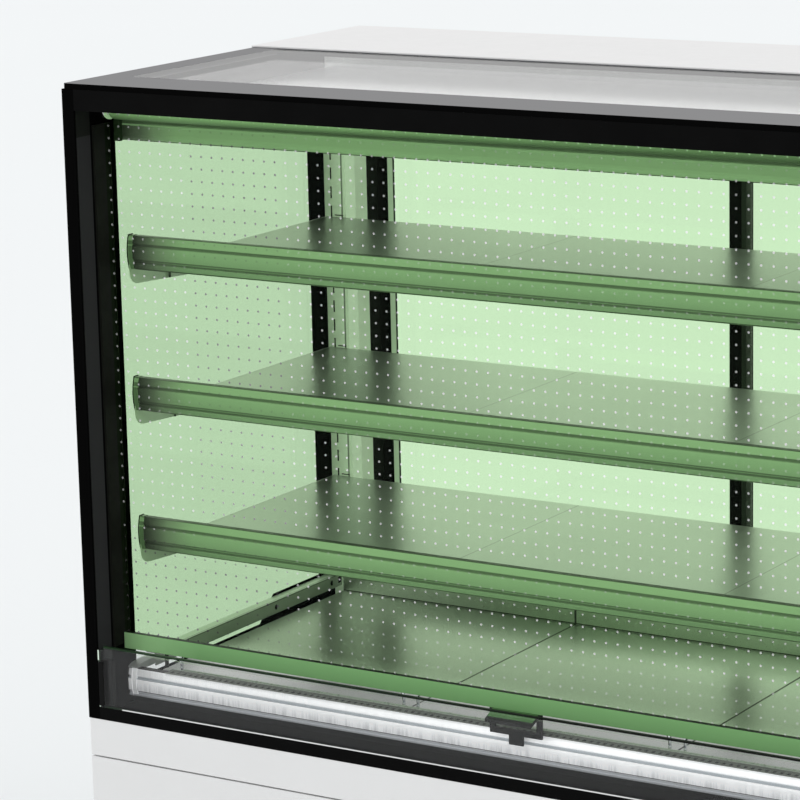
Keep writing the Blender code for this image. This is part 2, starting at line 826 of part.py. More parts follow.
def night_blind(case, finish):
    """Spring roller, hanging film, hem bar and pull handle. The hem and handle ride on one carriage."""
    axle = (WIDTH / 2, ROLLER_PLACE, ROLLER_HEIGHT)
    half = WIDTH / 2 - ROLLER_SIDE_GAP
    end = WIDTH / 2 - SIDE_GLASS - 0.001
    profile = [
        (0.0, -end),
        (JOURNAL_RADIUS, -end),
        (JOURNAL_RADIUS, -half),
        (ROLLER_RADIUS, -half),
        (ROLLER_RADIUS, half),
        (JOURNAL_RADIUS, half),
        (JOURNAL_RADIUS, end),
        (0.0, end),
    ]
    bm = turned_mesh(profile, axle, axis="X", steps=32)
    add_piece("blind_roller", bm, finish["blind_film"], case, pivot=axle, smooth=True)

    film = box_mesh(
        FILM_SIDE_GAP,
        WIDTH - FILM_SIDE_GAP,
        FILM_PLACE,
        FILM_PLACE + FILM_THICKNESS,
        HEM_TOP + FIT,
        ROLLER_HEIGHT,
    )
    add_piece("blind_film", film, finish["blind_film"], case, pivot=(WIDTH / 2, FILM_PLACE, ROLLER_HEIGHT))

    carriage = add_empty("blind_carriage", (WIDTH / 2, HEM_PLACE, HEM_TOP), case)
    hem_bottom = HEM_TOP - HEM_HEIGHT
    hem = box_mesh(
        FILM_SIDE_GAP,
        WIDTH - FILM_SIDE_GAP,
        HEM_PLACE,
        HEM_PLACE + HEM_THICKNESS,
        hem_bottom,
        HEM_TOP,
    )
    add_piece("hem_bar", hem, finish["aluminium"], carriage, pivot=(WIDTH / 2, HEM_PLACE, HEM_TOP))
    pull_handle(case, finish, carriage, hem_bottom - FIT)


def pull_handle(case, finish, carriage, top):
    """Moulded frame under the hem, with a grip that slopes forward and a hook stem below."""
    middle = WIDTH / 2
    bottom = top - HANDLE_DROP
    half = HANDLE_WIDTH / 2
    front, back = HEM_PLACE, HEM_PLACE + HANDLE_PLATE
    frame = ring_mesh(
        (middle - half, bottom, middle + half, top),
        (middle - half + HANDLE_BAR, bottom + HANDLE_BAR, middle + half - HANDLE_BAR, top - HANDLE_BAR),
        "Y",
        front,
        back,
    )
    handle = add_piece(
        "pull_handle", frame, finish["black_plastic"], carriage, pivot=(middle, HEM_PLACE, HEM_TOP)
    )
    grip_outline = [
        (front + 0.001, top - 0.0005),
        (front - HANDLE_GRIP_REACH, top - 0.010),
        (front - HANDLE_GRIP_REACH, top - 0.0145),
        (front + 0.001, top - 0.006),
    ]
    grip_half = HANDLE_GRIP_WIDTH / 2
    grip = prism_mesh(grip_outline, "X", middle - grip_half, middle + grip_half)
    stem_half = HANDLE_STEM_WIDTH / 2
    stem = box_mesh(
        middle - stem_half,
        middle + stem_half,
        front + 0.0002,
        back - 0.0002,
        bottom - HANDLE_STEM_DROP,
        bottom + HANDLE_BAR / 2,
    )
    tools = [add_piece("helper_grip", grip, None, case), add_piece("helper_stem", stem, None, case)]
    join_by_boolean(handle, tools, "UNION")


def rear_frame(case, finish):
    """Welded rear frame: door portal, side closers, edge posts and the grooved door tracks."""
    front, back = REAR_FRAME_FRONT, REAR_FRAME_FRONT + REAR_FRAME_WALL
    portal = ring_mesh(
        (0.0, REAR_FRAME_BOTTOM, WIDTH, FRAME_TOP),
        (POST_WIDTH, DOOR_OPENING_BOTTOM, WIDTH - POST_WIDTH, DOOR_OPENING_TOP),
        "Y",
        front,
        back,
    )
    frame = add_piece("rear_frame", portal, finish["grey_paint"], case)
    tools = []

    def side_parts(side, flip):
        closer = box_mesh(
            flip(0.0),
            flip(SIDE_GLASS),
            SIDE_GLASS_DEPTH + FIT,
            front + 0.010,
            FRAME_BOTTOM + 0.0001,
            FRAME_TOP - 0.0001,
        )
        post = box_mesh(
            flip(0.0001),
            flip(REAR_EDGE_POST),
            back - 0.005,
            DEPTH - 0.0025,
            REAR_FRAME_BOTTOM + 0.0001,
            FRAME_TOP - 0.0001,
        )
        corner = box_mesh(
            flip(0.0002),
            flip(SIDE_GLASS - 0.0002),
            front + 0.005,
            DEPTH - 0.0028,
            FRAME_BOTTOM + 0.0002,
            REAR_FRAME_BOTTOM + 0.005,
        )
        tools.append(add_piece(f"helper_closer_{side}", closer, None, case))
        tools.append(add_piece(f"helper_corner_{side}", corner, None, case))
        tools.append(add_piece(f"helper_edge_post_{side}", post, None, case))

    mirrored_pair(side_parts)
    tools.append(door_track(case, "top", DOOR_TOP, FRAME_TOP - 0.0462, 1))
    tools.append(door_track(case, "bottom", DOOR_BOTTOM, REAR_FRAME_BOTTOM + 0.0002, -1))
    join_by_boolean(frame, tools, "UNION")


def door_track(case, name, door_edge, outer, side):
    """A bar across the portal's back with one groove for each door."""
    groove_floor = door_edge + side * 0.001
    lip = door_edge - side * 0.006
    y = REAR_FRAME_FRONT + REAR_FRAME_WALL - 0.005
    clearance = 0.0004
    outline = [(y, outer), (y, lip)]
    for plane in DOOR_PLANES:
        start, end = plane - clearance, plane + DOOR_THICKNESS + clearance
        outline += [(start, lip), (start, groove_floor), (end, groove_floor), (end, lip)]
    last = DEPTH - 0.0027
    outline += [(last, lip), (last, outer)]
    bm = prism_mesh(outline, "X", REAR_EDGE_POST - 0.004, WIDTH - REAR_EDGE_POST + 0.004)
    return add_piece(f"helper_track_{name}", bm, None, case)


def sliding_doors(case, finish):
    """Two glazed doors on parallel planes; the left one runs in the inner groove."""
    starts = {"left": DOOR_EDGE, "right": WIDTH - DOOR_EDGE - DOOR_WIDTH}
    for (side, x0), plane in zip(starts.items(), DOOR_PLANES):
        x1 = x0 + DOOR_WIDTH
        pivot = ((x0 + x1) / 2, plane, (DOOR_BOTTOM + DOOR_TOP) / 2)
        carrier = add_empty(f"door_{side}", pivot, case)
        inner = (x0 + STILE, DOOR_BOTTOM + DOOR_RAIL, x1 - STILE, DOOR_TOP - DOOR_RAIL)
        frame = ring_mesh((x0, DOOR_BOTTOM, x1, DOOR_TOP), inner, "Y", plane, plane + DOOR_THICKNESS)
        add_piece(f"door_{side}_frame", frame, finish["black_paint"], carrier, pivot=pivot)
        middle = plane + DOOR_THICKNESS / 2
        glass = box_mesh(
            inner[0] + FIT,
            inner[2] - FIT,
            middle - DOOR_GLASS / 2,
            middle + DOOR_GLASS / 2,
            inner[1] + FIT,
            inner[3] - FIT,
        )
        add_piece(f"door_{side}_glass", glass, finish["glass"], carrier, pivot=pivot)


def fan(name, centre, axis, radius, case, finish):
    """A fan impeller: a hub and blades set at an angle, joined into one moulding."""
    index = "XYZ".index(axis)
    depth = radius * FAN_DEPTH
    hub = turned_mesh(
        [(0.0, -depth / 2), (FAN_HUB, -depth / 2), (FAN_HUB, depth / 2), (0.0, depth / 2)],
        centre,
        axis=axis,
        steps=20,
    )
    impeller = add_piece(name, hub, finish["black_plastic"], case, pivot=centre, smooth=True)
    blades = []
    for k in range(FAN_BLADES):
        angle = 2 * math.pi * k / FAN_BLADES
        blade = bmesh.new()
        corners = []
        for reach, half_span, lean in ((FAN_HUB * 0.8, 0.007, 0.8), (radius, radius * 0.34, 0.75)):
            for across in (-1, 1):
                for face in (-1, 1):
                    local = Vector((reach, across * half_span, across * lean * depth * 0.45 + face * 0.0009))
                    turned = (
                        local.x * math.cos(angle) - local.y * math.sin(angle),
                        local.x * math.sin(angle) + local.y * math.cos(angle),
                    )
                    place = list(turned)
                    place.insert(index, local.z)
                    corners.append(blade.verts.new(Vector(centre) + Vector(place)))
        bmesh.ops.convex_hull(blade, input=blade.verts)
        blades.append(add_piece(f"helper_{name}_blade_{k}", blade, None, case))
    join_by_boolean(impeller, blades, "UNION")


def coil_with_motor(name, box, fan_place, fan_radius, case, finish):
    """A finned heat exchanger block that carries the motor of its fan."""
    coil = add_piece(name, box_mesh(*box), finish["aluminium"], case)
    hub_face = fan_place[1] + fan_radius * FAN_DEPTH / 2 + FIT
    ends = sorted((hub_face, box[2] + 0.005)) if box[2] > fan_place[1] else None
    if ends is None:
        hub_face = fan_place[1] - fan_radius * FAN_DEPTH / 2 - FIT
        ends = sorted((hub_face, box[3] - 0.005))
    x, z = fan_place[0], fan_place[2]
    profile = [(0.0, ends[0]), (MOTOR_RADIUS, ends[0]), (MOTOR_RADIUS, ends[1]), (0.0, ends[1])]
    motor = turned_mesh(profile, (x, 0.0, z), axis="Y", steps=20)
    join_by_boolean(coil, [add_piece(f"helper_{name}_motor", motor, None, case)], "UNION")


def machinery(case, finish):
    """Compressor, condenser and its fan, evaporator and its fan, and the control box."""
    floor = FOOT_HEIGHT + FIT + BASE_TUBE - FLOOR_PLATE_DROP + FIT
    x, y = COMPRESSOR_PLACE
    r = COMPRESSOR_RADIUS
    dome = [(0.0, floor), (r * 1.05, floor), (r * 1.05, floor + 0.006)]
    dome += [(r, floor + 0.010), (r, floor + 0.075)]
    dome += [(r + 0.004, floor + 0.077), (r + 0.004, floor + 0.085), (r, floor + 0.087)]
    top = floor + 0.120
    dome += [(r * math.cos(a), top + r * 0.62 * math.sin(a)) for a in (0.0, 0.4, 0.8, 1.15)]
    dome += [(0.0, top + r * 0.62)]
    bm = turned_mesh(dome, (x, y, 0.0), steps=28)
    add_piece("compressor", bm, finish["black_paint"], case, smooth=True)
    condenser = (*CONDENSER[:4], floor, CONDENSER[4])
    coil_with_motor("condenser_coil", condenser, CONDENSER_FAN_PLACE, FAN_RADIUS, case, finish)
    fan("condenser_fan", CONDENSER_FAN_PLACE, "Y", FAN_RADIUS, case, finish)
    place, radius = EVAPORATOR_FAN_PLACE, EVAPORATOR_FAN_RADIUS
    coil_with_motor("evaporator_coil", EVAPORATOR, place, radius, case, finish)
    fan("evaporator_fan", place, "Y", radius, case, finish)
    add_piece("control_box", box_mesh(*CONTROL_BOX), finish["black_plastic"], case)
    light_switch(case, finish)


def light_switch(case, finish):
    """A rocker in the rear panel's window, turning on a level pivot and shown with its lower half in."""
    x, z = SWITCH_PLACE
    half_w, half_h = (size / 2 for size in SWITCH_SIZE)
    depth = SWITCH_PIVOT_DEPTH
    pivot_y = REAR_PANEL_FRONT + REAR_PANEL_THICKNESS - depth
    section = [
        (-0.005, -half_h * 0.7),
        (depth + 0.0025, -half_h * 0.94),
        (depth + 0.0005, 0.0),
        (depth + 0.0025, half_h * 0.94),
        (-0.005, half_h * 0.7),
    ]
    tilt = math.radians(SWITCH_TILT)
    rocker = []
    for out, up in section:
        across = out * math.cos(tilt) + up * math.sin(tilt)
        rise = up * math.cos(tilt) - out * math.sin(tilt)
        rocker.append((pivot_y + across, z + rise))
    bm = prism_mesh(rocker, "X", x - half_w, x + half_w)
    add_piece("light_switch", bm, finish["black_plastic"], case, pivot=(x, pivot_y, z))


def main():
    clear_scene()
    finish = make_materials()
    case = add_empty("case", (-WIDTH / 2, -DEPTH / 2, 0.0))
    base_frame(case, finish)
    feet(case, finish)
    base_panels(case, finish)
    rear_service_panel(case, finish)
    base_tub(case, finish)
    glazing(case, finish)
    front_frame(case, finish)
    rear_top_cover(case, finish)
    canopy(case, finish)
    for number in range(1, SHELF_COUNT + 1):
        shelf(case, finish, number)
    uprights(case, finish)
    lower_deck(case, finish)
    night_blind(case, finish)
    rear_frame(case, finish)
    sliding_doors(case, finish)
    machinery(case, finish)


main()
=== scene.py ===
import math

import bmesh
import bpy
from mathutils import Matrix, Vector


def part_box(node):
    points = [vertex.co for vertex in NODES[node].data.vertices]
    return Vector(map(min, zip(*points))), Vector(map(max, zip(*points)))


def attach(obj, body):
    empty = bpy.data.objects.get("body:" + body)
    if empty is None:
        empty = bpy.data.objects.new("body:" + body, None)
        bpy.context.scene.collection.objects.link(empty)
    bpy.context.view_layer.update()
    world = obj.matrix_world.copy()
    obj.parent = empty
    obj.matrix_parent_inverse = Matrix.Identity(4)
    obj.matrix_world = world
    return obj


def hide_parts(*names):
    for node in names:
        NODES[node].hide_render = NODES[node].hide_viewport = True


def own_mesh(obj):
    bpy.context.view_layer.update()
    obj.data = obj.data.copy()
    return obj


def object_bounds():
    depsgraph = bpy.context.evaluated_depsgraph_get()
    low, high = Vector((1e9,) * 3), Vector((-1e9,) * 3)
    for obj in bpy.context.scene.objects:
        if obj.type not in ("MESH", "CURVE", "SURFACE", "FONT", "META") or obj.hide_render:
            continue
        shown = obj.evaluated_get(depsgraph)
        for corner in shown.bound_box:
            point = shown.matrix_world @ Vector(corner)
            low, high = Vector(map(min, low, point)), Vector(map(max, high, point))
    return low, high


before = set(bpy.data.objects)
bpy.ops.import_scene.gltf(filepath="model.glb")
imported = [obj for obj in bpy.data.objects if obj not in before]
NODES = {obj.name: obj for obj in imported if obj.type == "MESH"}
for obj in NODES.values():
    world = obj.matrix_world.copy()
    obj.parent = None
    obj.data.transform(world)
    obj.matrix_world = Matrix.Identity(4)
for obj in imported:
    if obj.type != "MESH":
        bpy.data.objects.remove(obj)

cad_low, cad_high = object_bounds()
SHIFT_X, SHIFT_Y = cad_low.x, cad_low.y
WIDTH = cad_high.x - cad_low.x

SHELVES = (1, 2, 3)
SIDES = ("left", "right")
# The film's dots: their pitch and one of them.
DOT_PITCH, DOT_X, DOT_Z = 0.01805, 0.0494, 1.2430
DOT_RADIUS, DOT_EDGE = 0.00165, 0.0004
# The price rails: the highest one's upper edge, the step from rail to rail and each one's height.
RAIL_TOPS, RAIL_STEP, RAIL_HIGH = 1.1122, 0.2126, 0.0495
DECK_BELOW_RAIL = 0.0503
# The nose rail: the upper edge of its paint, its caps' front and the ends of what is behind it.
NOSE_TOP = 0.4600
NOSE_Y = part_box("nose_rail")[0].y - SHIFT_Y - 0.0006
NOSE_END = 0.0880
# How far in a rail end cap starts, its rim's inner side and the rim's outer side.
CAP_END, CAP_START, CAP_RIM = 0.0362, 0.0284, 0.0276
# Joints between the three shelf panels and between the three trays.
JOINTS_X = (0.4833, 0.9167)
FILM_TINT = (0.690, 0.930, 0.600)
GLASS_IOR, FILM_IOR = 1.45, 1.25
# The part of a noise's range that its values mostly fill.
NOISE_LOW, NOISE_HIGH = 0.3, 0.7
GRAIN_DEPTH = 0.0002
EASE_SEGMENTS, EASE_ANGLE = 2, math.radians(40)

bpy.context.scene.view_settings.view_transform = "Standard"
bpy.context.scene.view_settings.look = "None"


# ---------------------------------------------------------------- places and shapes
# Case coordinates start at the left outer face, the front plane and the floor.
CASE_TO_ROW = Vector((SHIFT_X, SHIFT_Y, 0.0))


def lin(*rgb):
    """Display colour in 0 to 255 as linear light."""
    out = []
    for value in rgb:
        v = value / 255
        out.append(v / 12.92 if v <= 0.04045 else ((v + 0.055) / 1.055) ** 2.4)
    return tuple(out)


def make_object(name, bm, material):
    """An object in the scene from a bmesh, which it uses up."""
    mesh = bpy.data.meshes.new(name)
    bm.to_mesh(mesh)
    bm.free()
    mesh.materials.append(material)
    made = bpy.data.objects.new(name, mesh)
    bpy.context.scene.collection.objects.link(made)
    return made


def ease_edges(obj, width):
    """Small rounded edges."""
    modifier = obj.modifiers.new("edges", "BEVEL")
    modifier.width = width
    modifier.segments = EASE_SEGMENTS
    modifier.limit_method = "ANGLE"
    modifier.angle_limit = EASE_ANGLE
    modifier.harden_normals = True
    obj.data.shade_smooth()


def add(name, bm, material, body="case", bevel=0.0, smooth=None):
    """A piece from a bmesh in case coordinates, riding on a body."""
    bmesh.ops.recalc_face_normals(bm, faces=bm.faces)
    bmesh.ops.translate(bm, verts=bm.verts, vec=CASE_TO_ROW)
    piece = make_object(name, bm, material)
    if bevel:
        ease_edges(piece, bevel)
    if smooth is not None:
        piece.data.shade_smooth()
        piece.data.set_sharp_from_angle(angle=math.radians(smooth))
    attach(piece, body)
    return piece


def point(axis, along, across):
    """A point from its place along an axis and its two other coordinates."""
    values = list(across)
    values.insert("XYZ".index(axis), along)
    return values


def prism(outline, axis, start, end):
    """An outline drawn out along an axis."""
    bm = bmesh.new()
    low = [bm.verts.new(point(axis, start, p)) for p in outline]
    high = [bm.verts.new(point(axis, end, p)) for p in outline]
    bm.faces.new(low)
    bm.faces.new(list(reversed(high)))
    for i in range(len(outline)):
        j = (i + 1) % len(outline)
        bm.faces.new((low[j], low[i], high[i], high[j]))
    return bm


def block(x0, x1, y0, y1, z0, z1):
    """A box from its limits."""
    return prism([(x0, y0), (x1, y0), (x1, y1), (x0, y1)], "Z", z0, z1)


def turned(profile, centre, axis="Z", steps=32):
    """A solid turned about an axis: (radius, along) from end to end."""
    bm = bmesh.new()
    rings = []
    for radius, along in profile:
        ring = []
        for k in range(1 if radius == 0 else steps):
            angle = 2 * math.pi * k / steps
            across = (radius * math.cos(angle), radius * math.sin(angle))
            ring.append(bm.verts.new(Vector(centre) + Vector(point(axis, along, across))))
        rings.append(ring)
    for lower, upper in zip(rings, rings[1:]):
        for k in range(steps):
            m = (k + 1) % steps
            corners = (lower[k % len(lower)], lower[m % len(lower)])
            corners += (upper[m % len(upper)], upper[k % len(upper)])
            bm.faces.new(list(dict.fromkeys(corners)))
    return bm


def arc(cx, cy, radius, start, end, steps):
    """Points on a circle between two angles in degrees."""
    points = []
    for k in range(steps + 1):
        a = math.radians(start + (end - start) * k / steps)
        points.append((cx + radius * math.cos(a), cy + radius * math.sin(a)))
    return points


def rounded(x0, x1, z0, z1, radius, steps=5):
    """Outline of a rectangle with round corners."""
    points = []
    for cx, cz, start in (
        (x1 - radius, z0 + radius, -90),
        (x1 - radius, z1 - radius, 0),
        (x0 + radius, z1 - radius, 90),
        (x0 + radius, z0 + radius, 180),
    ):
        points += arc(cx, cz, radius, start, start + 90, steps)
    return points


def merge(*parts):
    """Several bodies in one piece."""
    whole = bmesh.new()
    for part in parts:
        scratch = bpy.data.meshes.new("scratch")
        part.to_mesh(scratch)
        part.free()
        whole.from_mesh(scratch)
        bpy.data.meshes.remove(scratch)
    return whole


def both_sides(build):
    """Runs a builder for the left side and, mirrored, for the right side."""
    for side, flip in (("left", lambda x: x), ("right", lambda x: WIDTH - x)):
        build(side, flip)


# ---------------------------------------------------------------- materials
class Shader:
    """A small builder for node materials."""

    def __init__(self, name):
        self.material = bpy.data.materials.new(name)
        self.material.use_nodes = True
        self.tree = self.material.node_tree
        self.tree.nodes.clear()
        self.out = self.add("ShaderNodeOutputMaterial")

    def add(self, kind, **inputs):
        node = self.tree.nodes.new(kind)
        for key, value in inputs.items():
            self.put(node, key.replace("_", " "), value)
        return node

    def put(self, node, key, value):
        socket = node.inputs[int(key)] if key.isdigit() else node.inputs[key]
        if isinstance(value, bpy.types.NodeSocket):
            self.tree.links.new(value, socket)
        elif isinstance(value, bpy.types.Node):
            self.tree.links.new(value.outputs[0], socket)
        elif isinstance(value, tuple) and len(value) == 3 and socket.type == "RGBA":
            socket.default_value = (*value, 1.0)
        else:
            socket.default_value = value

    def math(self, operation, a, b=0.0, c=0.0):
        node = self.add("ShaderNodeMath")
        node.operation = operation
        for key, value in (("0", a), ("1", b), ("2", c)):
            self.put(node, key, value)
        return node.outputs[0]

    def plus(self, a, b):
        return self.math("ADD", a, b)

    def minus(self, a, b):
        return self.math("SUBTRACT", a, b)

    def times(self, a, b):
        return self.math("MULTIPLY", a, b)

    def over(self, a, b):
        return self.math("DIVIDE", a, b)

    def most(self, a, b):
        return self.math("MAXIMUM", a, b)

    def least(self, a, b):
        return self.math("MINIMUM", a, b)

    def split(self, vector):
        """The x, y and z of a vector socket."""
        node = self.add("ShaderNodeSeparateXYZ")
        self.tree.links.new(vector, node.inputs[0])
        return node.outputs[0], node.outputs[1], node.outputs[2]

    def place(self):
        """x, y and z in case coordinates, in metres."""
        x, y, z = self.split(self.add("ShaderNodeTexCoord").outputs["Object"])
        return self.minus(x, SHIFT_X), self.minus(y, SHIFT_Y), z

    def facing(self):
        """x, y and z of the direction that the surface faces."""
        return self.split(self.add("ShaderNodeNewGeometry").outputs["Normal"])

    def from_end(self, x):
        """How far in from the nearer end of the case."""
        return self.least(x, self.minus(WIDTH, x))

    def noise(self, scale, detail=3.0, stretch=(1.0, 1.0, 1.0), roughness=0.5):
        coordinates = self.add("ShaderNodeTexCoord")
        mapping = self.add("ShaderNodeMapping")
        mapping.inputs["Scale"].default_value = stretch
        self.tree.links.new(coordinates.outputs["Object"], mapping.inputs[0])
        texture = self.add("ShaderNodeTexNoise", Scale=scale, Detail=detail, Roughness=roughness)
        self.tree.links.new(mapping.outputs[0], texture.inputs["Vector"])
        return texture.outputs["Fac"]

    def ramp(self, value, low, high, to_low, to_high):
        node = self.add("ShaderNodeMapRange")
        node.clamp = True
        for key, item in (("0", value), ("1", low), ("2", high), ("3", to_low), ("4", to_high)):
            self.put(node, key, item)
        return node.outputs[0]

    def spread(self, noise, low, high):
        """A noise stretched to run from one value to another."""
        return self.ramp(noise, NOISE_LOW, NOISE_HIGH, low, high)

    def above(self, value, low, high):
        """0 up to one value, and 1 from another on."""
        return self.ramp(value, low, high, 0.0, 1.0)

    def below(self, value, low, high):
        """1 up to one value, and 0 from another on."""
        return self.ramp(value, low, high, 1.0, 0.0)

    def mix_colour(self, factor, a, b):
        node = self.add("ShaderNodeMix")
        node.data_type = "RGBA"
        for key, value in (("0", factor), ("6", a), ("7", b)):
            self.put(node, key, value)
        return node.outputs[2]

    def clouded(self, noise, a, b):
        """A colour that drifts between two."""
        return self.mix_colour(self.spread(noise, 0.0, 1.0), a, b)

    def mix_float(self, factor, a, b):
        node = self.add("ShaderNodeMix")
        node.data_type = "FLOAT"
        for key, value in (("0", factor), ("2", a), ("3", b)):
            self.put(node, key, value)
        return node.outputs[0]

    def mix_shader(self, factor, a, b):
        node = self.add("ShaderNodeMixShader")
        for key, value in (("0", factor), ("1", a), ("2", b)):
            self.put(node, key, value)
        return node.outputs[0]

    def bump(self, height, strength, distance=GRAIN_DEPTH):
        node = self.add("ShaderNodeBump", Strength=strength, Distance=distance)
        self.put(node, "Height", height)
        return node.outputs[0]

    def surface(self, colour, rough, metallic=0.0, specular=0.5, normal=None, glow=None):
        """A solid finish. A faint glow stands in for light that bounces about inside the case."""
        node = self.add("ShaderNodeBsdfPrincipled")
        self.put(node, "Base Color", colour)
        self.put(node, "Roughness", rough)
        self.put(node, "Metallic", metallic)
        self.put(node, "Specular IOR Level", specular)
        if normal is not None:
            self.put(node, "Normal", normal)
        if glow is not None:
            self.put(node, "Emission Color", colour)
            self.put(node, "Emission Strength", glow)
        return node.outputs[0]

    def done(self, shader):
        self.tree.links.new(shader, self.out.inputs["Surface"])
        return self.material


def worn(name, colour, rough, metallic=0.0, specular=0.5, scale=60.0, depth=0.05, grain=0.0):
    """A finish with slight cloudiness in its colour and roughness, and an optional fine grain."""
    s = Shader(name)
    tone = s.add("ShaderNodeHueSaturation", Color=colour)
    s.put(tone, "Value", s.spread(s.noise(scale), 1.0 - depth, 1.0))
    rough_map = s.spread(s.noise(scale * 3), max(rough - 0.05, 0.02), rough + 0.05)
    normal = s.bump(s.noise(1400.0, 2.0), grain) if grain else None
    return s.done(s.surface(tone.outputs[0], rough_map, metallic, specular, normal))


def between(s, value, low, high, soft=0.0004):
    """1 inside a range, with soft edges."""
    rise = s.above(value, low - soft, low + soft)
    fall = s.below(value, high - soft, high + soft)
    return s.times(rise, fall)


def grazing(s, ior):
    """How much a surface reflects, the same from either of its sides."""
    back = s.add("ShaderNodeNewGeometry").outputs["Backfacing"]
    fresnel = s.add("ShaderNodeFresnel", IOR=s.ramp(back, 0.0, 1.0, ior, 1.0 / ior))
    return fresnel.outputs[0]


def clear(s, tint, reflect=1.0, rough=0.02):
    """Thin clear glass: what is behind, tinted, under a reflection that grows at a low angle."""
    through = s.add("ShaderNodeBsdfTransparent", Color=tint)
    shine = s.add("ShaderNodeBsdfGlossy", Color=(1.0, 1.0, 1.0), Roughness=rough)
    weight = s.times(grazing(s, GLASS_IOR), reflect)
    return s.mix_shader(weight, through.outputs[0], shine.outputs[0])


def make_materials():
    """Every material by a short name."""
    m = {}
    m["white"] = worn("white_panel", lin(219, 219, 219), 0.45, scale=8.0, depth=0.02, grain=0.05)
    m["cover"] = worn("white_textured", lin(221, 221, 221), 0.55, scale=30.0, depth=0.02, grain=0.3)
    m["frame_grey"] = frame_finish()
    m["upright"] = upright_finish()
    m["side_rail"] = side_rail_finish()
    m["black"] = worn("black_frame", lin(9, 9, 9), 0.35, specular=0.03, scale=20.0, depth=0.3)
    m["black_soft"] = worn(
        "black_moulded", lin(20, 20, 20), 0.45, specular=0.2, scale=90.0, depth=0.25, grain=0.1
    )
    m["dark_strip"] = worn("dark_strip", lin(58, 62, 58), 0.5, specular=0.1, scale=40.0, depth=0.15)
    # Painted shadow: grey for the strip on the apron under the roller.
    m["channel"] = worn(
        "apron_channel", lin(112, 114, 112), 0.5, specular=0.1, scale=40.0, depth=0.1
    )
    m["guide"] = worn("guide_black", lin(26, 27, 24), 0.5, specular=0.05, scale=60.0, depth=0.2)
    m["door_black"] = door_frame_finish()
    m["chrome"] = worn("chrome_wire", lin(225, 228, 230), 0.08, 1.0, scale=200.0, depth=0.03)
    m["insulation"] = worn("tub_lining", lin(120, 122, 124), 0.6, scale=40.0, depth=0.1, grain=0.2)
    m["gasket"] = worn("gasket_rubber", lin(12, 12, 12), 0.7, specular=0.1, scale=120.0, depth=0.2)
    m["seal"] = worn("glazing_seal", lin(196, 198, 196), 0.5, scale=120.0, depth=0.06)
    m["machine"] = worn("machine_black", lin(28, 28, 30), 0.45, scale=50.0, depth=0.25, grain=0.15)
    m["fan"] = worn("fan_plastic", lin(45, 46, 48), 0.5, scale=70.0, depth=0.2)
    m["rubber"] = worn("foot_rubber", lin(32, 32, 33), 0.65, scale=150.0, depth=0.25, grain=0.2)
    m["box"] = worn("control_grey", lin(88, 90, 92), 0.5, scale=60.0, depth=0.1, grain=0.2)
    m["hem"] = hem_finish()
    m["film"] = film_finish()
    m["roll"] = roll_finish()
    m["tab"] = tab_finish()
    m["rail"] = price_rail_finish()
    m["nose"] = nose_finish()
    m["bracket"] = bracket_finish()
    m["deck"] = deck_finish()
    m["tray"] = tray_finish()
    m["side_glass"] = side_glass_finish()
    m["top_glass"] = top_glass_finish()
    m["front_glass"] = front_glass_finish()
    m["door_glass"] = door_glass_finish()
    m["canopy"] = canopy_finish()
    m["fins"] = fins_finish()
    m["lamp"] = lamp_finish()
    m["smoke"] = smoke_finish()
    m["cap"] = cap_finish()
    m["grille"] = grille_finish()
    m["bead"] = bead_finish()
    m["cap_white"] = cap_white_finish()
    # Painted highlight: a bright glint for the low pane's polished edge.
    m["polished"] = worn("glass_edge_glint", lin(206, 222, 206), 0.2, scale=200.0, depth=0.1)
    m["lip"] = worn("tray_lip", lin(196, 206, 194), 0.3, 0.2, scale=60.0, depth=0.05)
    return m


def off_dot(s, value, origin):
    """How far a place is from the nearest row of dots, in pitches."""
    cell = s.over(s.minus(value, origin), DOT_PITCH)
    return s.minus(cell, s.math("ROUND", cell))


def dot_mask(s, x, z):
    """Round dots on a square grid, over x and z."""
    dx = s.times(off_dot(s, x, DOT_X), DOT_PITCH)
    dz = s.times(off_dot(s, z, DOT_Z), DOT_PITCH)
    away = s.math("SQRT", s.plus(s.times(dx, dx), s.times(dz, dz)))
    return s.below(away, DOT_RADIUS - DOT_EDGE, DOT_RADIUS + DOT_EDGE)


def down_rail(s, z, top, step=None):
    """How far down its rail a height lies: 0 at the upper edge and 1 at the lower edge."""
    below = s.minus(top, z)
    if step:
        below = s.times(s.math("FRACT", s.over(below, step)), step)
    return s.over(below, RAIL_HIGH)


